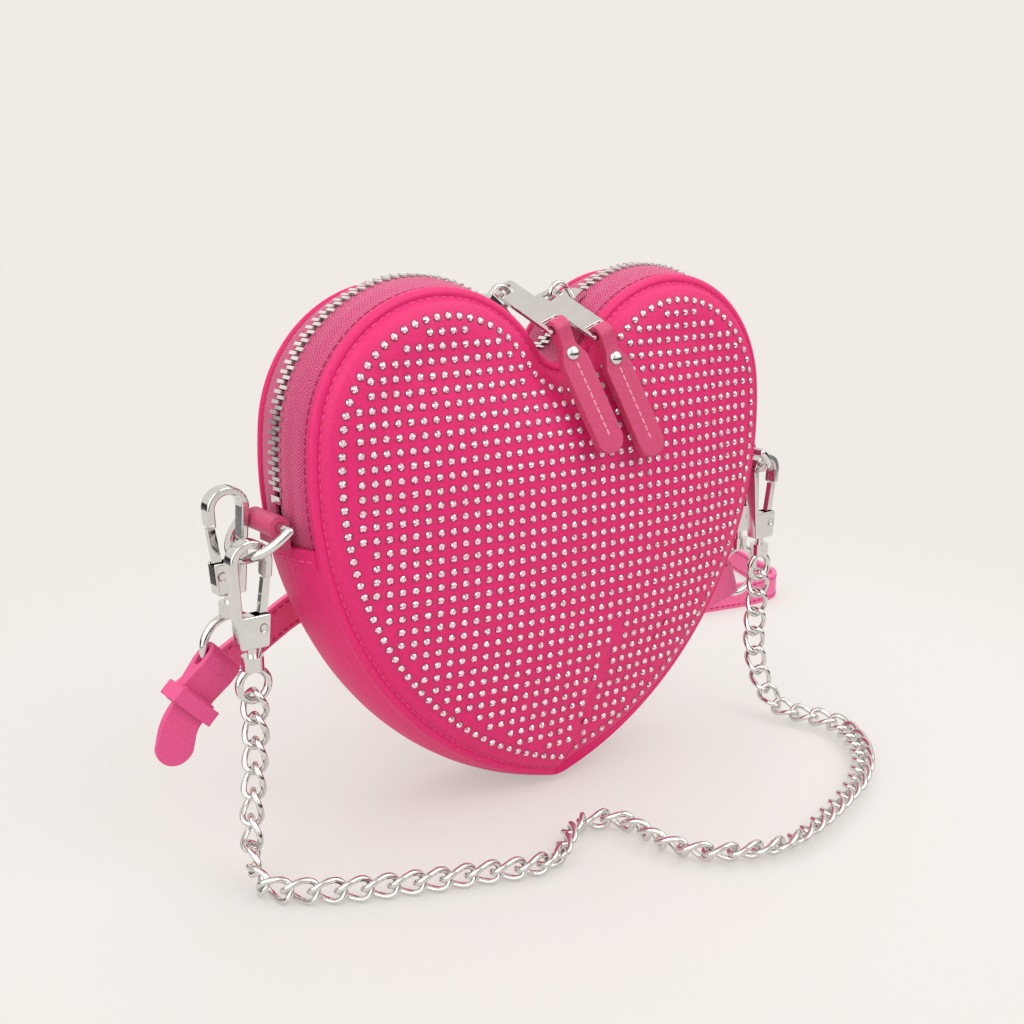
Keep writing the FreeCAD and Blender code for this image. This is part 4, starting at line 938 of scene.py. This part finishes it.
links = []
for name in CHAIN:
    parted = bmesh.new()
    parted.from_mesh(nodes[name].data)
    bmesh.ops.remove_doubles(parted, verts=parted.verts, dist=MERGE)
    waiting = set(parted.verts)
    while waiting:
        reached = [waiting.pop()]
        for vert in reached:
            for edge in vert.link_edges:
                other = edge.other_vert(vert)
                if other in waiting:
                    waiting.remove(other)
                    reached.append(other)
        cloud = numpy.array([vert.co for vert in reached])
        middle = (cloud.min(axis=0) + cloud.max(axis=0)) / 2
        _, axes = numpy.linalg.eigh(numpy.cov((cloud - middle).T))
        links.append((name, Vector(middle), Vector(axes[:, 2]), Vector(axes[:, 0])))


def box_middle(node):
    """The middle of a CAD node's box."""
    low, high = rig.box(node)
    return (Vector(low) + Vector(high)) / 2


row = []
last = box_middle("left_chain_hook_swivel")
while links:
    near = min(links, key=lambda link: (link[1] - last).length)
    links.remove(near)
    row.append(near)
    last = near[1]
row[0] = ("chain_left_top", *row[0][1:])
row[-1] = ("chain_right_top", *row[-1][1:])
placed = {name: ([], [], []) for name, *_ in row}
flat = None
for k, (name, middle, along_link, normal) in enumerate(row):
    ahead = row[min(k + 1, len(row) - 1)][1] - row[max(k - 1, 0)][1]
    if along_link.dot(ahead) < 0:
        along_link = -along_link
    beside = along_link.cross(normal)
    choices = [(normal - beside).normalized(), (normal + beside).normalized()]
    choices += [-choice for choice in choices]
    flat = choices[0] if flat is None else max(choices, key=lambda choice: choice.dot(flat))
    turned = -2 * LINK_TWIST * k / (len(row) - 1)
    facing_link = flat * math.cos(turned) + along_link.cross(flat) * math.sin(turned)
    for values, value in zip(placed[name], (middle, facing_link, along_link)):
        values.append(value)
for name, (spots, facings, alongs) in placed.items():
    body = "purse" if name == "chain_floor" else None
    piece = set_repeats(name + "_links", spots, facings, alongs, link_seed, MM, 0.0, nickel, body, "metal")
    if name in CHAIN:
        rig.replaces(piece, name)
    if name == "chain_left_drop":
        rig.blend(piece, "purse", "ring_left", spots[-1], spots[0])
    if name == "chain_right_drop":
        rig.blend(piece, "purse", "ring_right", spots[0], spots[-1])
    if name.endswith("_top"):
        side = name.split("_")[1]
        half_link = (box_middle(side + "_chain_hook_swivel") - spots[0]).normalized() * LINK_LONG / 2 * MM
        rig.blend(piece, "ring_" + side, side + "_chain_swivel", spots[0] - half_link, spots[0] + half_link)
bpy.data.objects.remove(link_seed)

# Strap: flat pink leather in three stretches, with a sewn row near both edges on both faces.
# Its ends are folded round the hooks' rings, and at the left a keeper holds the loose tip.
# Stitches follow a smooth line through the strap's route and are set down on the strap itself.
STRAP_WIDE, STRAP_EDGE, STRAP_PITCH, STRAP_EASE = 12.0, 1.7, 3.2, 0.4
STRAP_CLEAR, ROUTE_STEPS, ROUTE_ORDER = 7.0, 16, 3
BAND_START, BAND_HEADING = (-126.0, 12.3), math.radians(22.0)
RISE_START, RISE_HEADING = (8.65, 92.05), math.radians(-45.9)
BAND_POINTS = ((0, 50), (34, 59), (62, 67), (92, 61), (120, 40), (145, 18), (166, 6), (194, 6))
RISE_POINTS = ((0, 6), (9, 6), (19, 26), (30, 46), (58, 57), (90, 53), (112.6, 46))
FLOOR_POINTS = (
    (54.0, 84.9), (72.5, 92.4), (100.0, 99.0), (140.0, 98.5), (178.0, 92.5), (208.0, 87.0), (229.0, 90.0),
    (240.0, 122.0), (252.0, 152.0), (244.0, 178.0), (214.0, 187.0), (150.0, 181.0), (90.0, 163.0),
    (40.0, 146.0), (12.0, 132.0), (-6.3, 106.0), (7.6, 91.7),
)
# Each bend: the ring that the strap follows, where it starts to and where it fully does, in metres.
LEFT_BEND = ("ring_left", (0.028, 0.0745, 0.006), (-0.126, 0.0123, 0.05))
RIGHT_BEND = ("ring_right", (0.0087, 0.092, 0.006), (0.087, 0.0112, 0.046))
STRAP_BENDS = {
    "strap_left_band": LEFT_BEND,
    "strap_right_band": RIGHT_BEND,
    "strap_keeper": LEFT_BEND,
    "strap_left_tail": LEFT_BEND,
}
UP = Vector((0.0, 0.0, 1.0))
strap_leather = pink_cloth("strap_leather", (0.89, 0.14, 0.34), 0.45, 0.4, 1100.0, 0.15)
# A darker copy of the strap leather, painted shade for the keeper, the left tail and the left loop, which lie in
# shadow.
strap_end_leather = pink_cloth("strap_end_leather", (0.76, 0.075, 0.245), 0.45, 0.4, 1100.0, 0.15)
dress("strap", strap_leather)


def hung(points, start, heading):
    """The route of a stretch that hangs in one upright plane, from runs and heights."""
    ahead = Vector((math.cos(heading), math.sin(heading), 0.0))
    return [Vector((*start, 0.0)) + ahead * run + UP * z for run, z in points]


routes = {
    "strap_left_band": hung(BAND_POINTS, BAND_START, BAND_HEADING),
    "strap_floor_band": [Vector((x, y, STRAP_WIDE / 2)) for x, y in FLOOR_POINTS],
    "strap_right_band": hung(RISE_POINTS, RISE_START, RISE_HEADING),
}
for name, route in routes.items():
    curve = bpy.data.curves.new(name + "_line", "CURVE")
    curve.dimensions = "3D"
    curve.resolution_u = ROUTE_STEPS
    spline = curve.splines.new("NURBS")
    spline.points.add(len(route) - 1)
    for point, place in zip(spline.points, route):
        point.co = (*(place * MM), 1.0)
    spline.order_u = ROUTE_ORDER
    spline.use_endpoint_u = True
    guide = in_scene(name + "_line", curve)
    line = bpy.data.meshes.new_from_object(guide.evaluated_get(bpy.context.evaluated_depsgraph_get()))
    places = [vertex.co.copy() for vertex in line.vertices]
    bpy.data.objects.remove(guide)
    strap_tree = BVHTree.FromObject(nodes[name], bpy.context.evaluated_depsgraph_get())
    upright = name == "strap_floor_band"
    spots = []
    facings = []
    alongs = []
    for place, way in steps_along(places, STRAP_PITCH * MM):
        face = Vector((way.x, way.y, 0.0)).normalized().cross(UP)
        wide = UP if upright else way.cross(face)
        for edge in (-1, 1):
            for front in (-1, 1):
                start = place + wide * edge * (STRAP_WIDE / 2 - STRAP_EDGE) * MM
                start += face * front * STRAP_CLEAR * MM
                spot, _, _, gap = strap_tree.ray_cast(start, -face * front)
                if spot and gap < 2 * STRAP_CLEAR * MM:
                    spots.append(spot)
                    facings.append(face * front)
                    alongs.append(way)
    body = "purse" if upright else None
    threads = set_repeats(
        name + "_stitches", spots, facings, alongs, stitch_seed, MM, 0.0, thread_deep, body, "strap"
    )
    if name in STRAP_BENDS:
        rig.blend(threads, "purse", *STRAP_BENDS[name])
bpy.data.objects.remove(stitch_seed)
for name, bend in STRAP_BENDS.items():
    # The keeper and the left tail take the darker copy of the leather, painted shade.
    shade = strap_leather if name.endswith("band") else strap_end_leather
    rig.blend(eased(name, STRAP_EASE, shade, "strap"), "purse", *bend)
# The left loop takes the darker copy, painted shade; the right loop keeps the lit strap leather.
for side, shade in (("left", strap_end_leather), ("right", strap_leather)):
    ring_middle = box_middle(side + "_strap_hook_swivel")
    loop_middle = box_middle(f"strap_{side}_loop")
    loop = eased(f"strap_{side}_loop", STRAP_EASE, shade, "strap")
    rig.blend(loop, "ring_" + side, side + "_strap_swivel", loop_middle * 2 - ring_middle, loop_middle)

# Floor: a pale sheet under the purse that fades into the cream backdrop before its edge.
# What the camera sees, straight or in the metal, is half the backdrop's cream, so the shadow stays soft.
CREAM = (0.871, 0.831, 0.783, 1.0)
CREAM_SHARE = 0.5
FLOOR_HALF, FLOOR_MIDDLE, FADE_FROM, FADE_TO = 2.0, (0.04, 0.05, 0.0), 0.14, 0.4


def background_rays(tree):
    """1 for what is seen straight, in metal or through glass, and 0 for light that falls on things."""
    path = tree.nodes.new("ShaderNodeLightPath")
    seen = tree.nodes.new("ShaderNodeMath")
    seen.use_clamp = True
    through = tree.nodes.new("ShaderNodeMath")
    through.use_clamp = True
    join(
        tree,
        (path, "Is Camera Ray", seen, 0),
        (path, "Is Glossy Ray", seen, 1),
        (seen, "Value", through, 0),
        (path, "Is Transmission Ray", through, 1),
    )
    return through


floor_mesh = bpy.data.meshes.new("floor")
floor_corners = [(x * FLOOR_HALF, y * FLOOR_HALF, 0.0) for x, y in ((-1, -1), (1, -1), (1, 1), (-1, 1))]
floor_mesh.from_pydata(floor_corners, [], [(0, 1, 2, 3)])
floor = in_scene("floor", floor_mesh)
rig.stage(floor)
floor_look, floor_tree, floor_shader = new_look("floor")
floor_shader.inputs["Base Color"].default_value = (0.68, 0.665, 0.64, 1.0)
floor_shader.inputs["Roughness"].default_value = 0.55
floor_glow = floor_tree.nodes.new("ShaderNodeEmission")
floor_glow.inputs["Color"].default_value = CREAM
floor_share = floor_tree.nodes.new("ShaderNodeMath")
floor_share.operation = "MULTIPLY"
floor_share.inputs[1].default_value = CREAM_SHARE
floor_pale = floor_tree.nodes.new("ShaderNodeMixShader")
floor_clear = floor_tree.nodes.new("ShaderNodeBsdfTransparent")
floor_mix = floor_tree.nodes.new("ShaderNodeMixShader")
floor_place = floor_tree.nodes.new("ShaderNodeTexCoord")
floor_range = floor_tree.nodes.new("ShaderNodeVectorMath")
floor_range.operation = "DISTANCE"
floor_range.inputs[1].default_value = FLOOR_MIDDLE
floor_fade = floor_tree.nodes.new("ShaderNodeMapRange")
floor_fade.interpolation_type = "SMOOTHSTEP"
floor_fade.inputs["From Min"].default_value = FADE_FROM
floor_fade.inputs["From Max"].default_value = FADE_TO
floor_rays = background_rays(floor_tree)
floor_out = floor_tree.nodes["Material Output"]
join(
    floor_tree,
    (floor_rays, "Value", floor_share, 0),
    (floor_share, "Value", floor_pale, "Fac"),
    (floor_shader, "BSDF", floor_pale, 1),
    (floor_glow, "Emission", floor_pale, 2),
    (floor_place, "Object", floor_range, 0),
    (floor_range, "Value", floor_fade, "Value"),
    (floor_fade, "Result", floor_mix, "Fac"),
    (floor_pale, "Shader", floor_mix, 1),
    (floor_clear, "BSDF", floor_mix, 2),
    (floor_mix, "Shader", floor_out, "Surface"),
)
floor_mesh.materials.append(floor_look)

# Dark card: a black band round the set, as a studio has it for polished metal, so that the curves show.
# Only reflections see it: the camera and the light on the purse pass through.
CARD_R, CARD_LOW, CARD_HIGH, CARD_SIDES = 1.5, -0.2, 0.24, 64
CARD_DARK_FROM, CARD_FOOT_TONE, CARD_TONE = 0.05, 0.35, 0.03
band = bmesh.new()
bmesh.ops.create_cone(
    band, cap_ends=False, segments=CARD_SIDES, radius1=CARD_R, radius2=CARD_R, depth=CARD_HIGH - CARD_LOW
)
bmesh.ops.translate(band, verts=band.verts, vec=(0.0, 0.0, (CARD_LOW + CARD_HIGH) / 2))
card_mesh = bpy.data.meshes.new("dark_card")
band.to_mesh(card_mesh)
card = in_scene("dark_card", card_mesh)
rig.stage(card)
card.visible_camera = False
card.visible_diffuse = False
card.visible_transmission = False
card.visible_shadow = False
card_look, card_tree, card_shader = new_look("dark_card")
card_shader.inputs["Roughness"].default_value = 0.9
card_place = card_tree.nodes.new("ShaderNodeTexCoord")
card_split = card_tree.nodes.new("ShaderNodeSeparateXYZ")
card_tone = card_tree.nodes.new("ShaderNodeMapRange")
card_tone.inputs["From Min"].default_value = CARD_LOW
card_tone.inputs["From Max"].default_value = CARD_DARK_FROM
card_tone.inputs["To Min"].default_value = CARD_FOOT_TONE
card_tone.inputs["To Max"].default_value = CARD_TONE
join(
    card_tree,
    (card_place, "Object", card_split, 0),
    (card_split, "Z", card_tone, "Value"),
    (card_tone, "Result", card_shader, "Base Color"),
)
card_mesh.materials.append(card_look)

# Backdrop and room: what is seen behind the purse is plain cream, straight and in the metal.
# The light on the purse comes from a room that is bright above and dim round the horizon.
ROOM_STRENGTH, ROOM_FOOT, ROOM_TOP = 0.75, (0.75, 0.72, 0.7, 1.0), (1.35, 1.35, 1.35, 1.0)
ROOM_FOOT_AT = 0.3
ROOM_LEVELS = ((0.48, 0.5), (0.52, 0.04), (0.57, 0.06), (0.64, 0.8))
world = bpy.data.worlds.new("studio")
bpy.context.scene.world = world
world.use_nodes = True
sky = world.node_tree
backdrop = sky.nodes["Background"]
backdrop.inputs["Color"].default_value = CREAM
room = sky.nodes.new("ShaderNodeBackground")
room.inputs["Strength"].default_value = ROOM_STRENGTH
room_place = sky.nodes.new("ShaderNodeTexCoord")
room_split = sky.nodes.new("ShaderNodeSeparateXYZ")
room_shift = sky.nodes.new("ShaderNodeMath")
room_shift.operation = "MULTIPLY_ADD"
room_shift.inputs[1].default_value = 0.5
room_shift.inputs[2].default_value = 0.5
room_ramp = sky.nodes.new("ShaderNodeValToRGB")
room_ramp.color_ramp.elements[0].position = ROOM_FOOT_AT
room_ramp.color_ramp.elements[0].color = ROOM_FOOT
room_ramp.color_ramp.elements[1].color = ROOM_TOP
for position, level in ROOM_LEVELS:
    room_ramp.color_ramp.elements.new(position).color = (level, level, level, 1.0)
sky_mix = sky.nodes.new("ShaderNodeMixShader")
sky_rays = background_rays(sky)
sky_out = sky.nodes["World Output"]
join(
    sky,
    (room_place, "Generated", room_split, 0),
    (room_split, "Z", room_shift, 0),
    (room_shift, "Value", room_ramp, "Fac"),
    (room_ramp, "Color", room, "Color"),
    (sky_rays, "Value", sky_mix, "Fac"),
    (room, "Background", sky_mix, 1),
    (backdrop, "Background", sky_mix, 2),
    (sky_mix, "Shader", sky_out, "Surface"),
)

# Lamps and camera: three large soft lamps, and the photograph's viewing angle.
# The top lamp is kept out of the metal, where it would blow out the pulls' flat plates.
LAMPS = (
    ("key", (0.45, -0.75, 0.85), (0.0, 0.0, 0.08), 1.0, 5.7),
    ("fill", (-0.85, -0.3, 0.5), (0.0, 0.0, 0.06), 1.3, 6.9),
    ("top", (0.5, 0.4, 1.0), (0.0, 0.0, 0.1), 1.3, 5.5),
)
YAW, PITCH = math.radians(37.19), math.radians(13.43)
LENS, SENSOR, EYE = 49.22, 36.0, (-0.2848, -0.3657, 0.2038)
for name, place, aim, wide, power in LAMPS:
    lamp = bpy.data.lights.new(name, "AREA")
    lamp.size = wide
    lamp.energy = power
    holder = in_scene(name, lamp)
    holder.location = place
    holder.visible_glossy = name != "top"
    holder.rotation_euler = (Vector(aim) - Vector(place)).to_track_quat("-Z", "Y").to_euler()
camera = bpy.data.cameras.new("camera")
camera.sensor_width = SENSOR
camera.lens = LENS
eye = in_scene("camera", camera)
eye.location = EYE
eye.rotation_euler = (math.pi / 2 - PITCH, 0.0, -YAW)
bpy.context.scene.camera = eye
bpy.context.scene.view_settings.view_transform = "Standard"

with open("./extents.json", "w") as sizes:
    boxes = {"cad": cad_box, "visual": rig.bounds()}
    json.dump({key: [list(corner) for corner in box] for key, box in boxes.items()}, sizes)
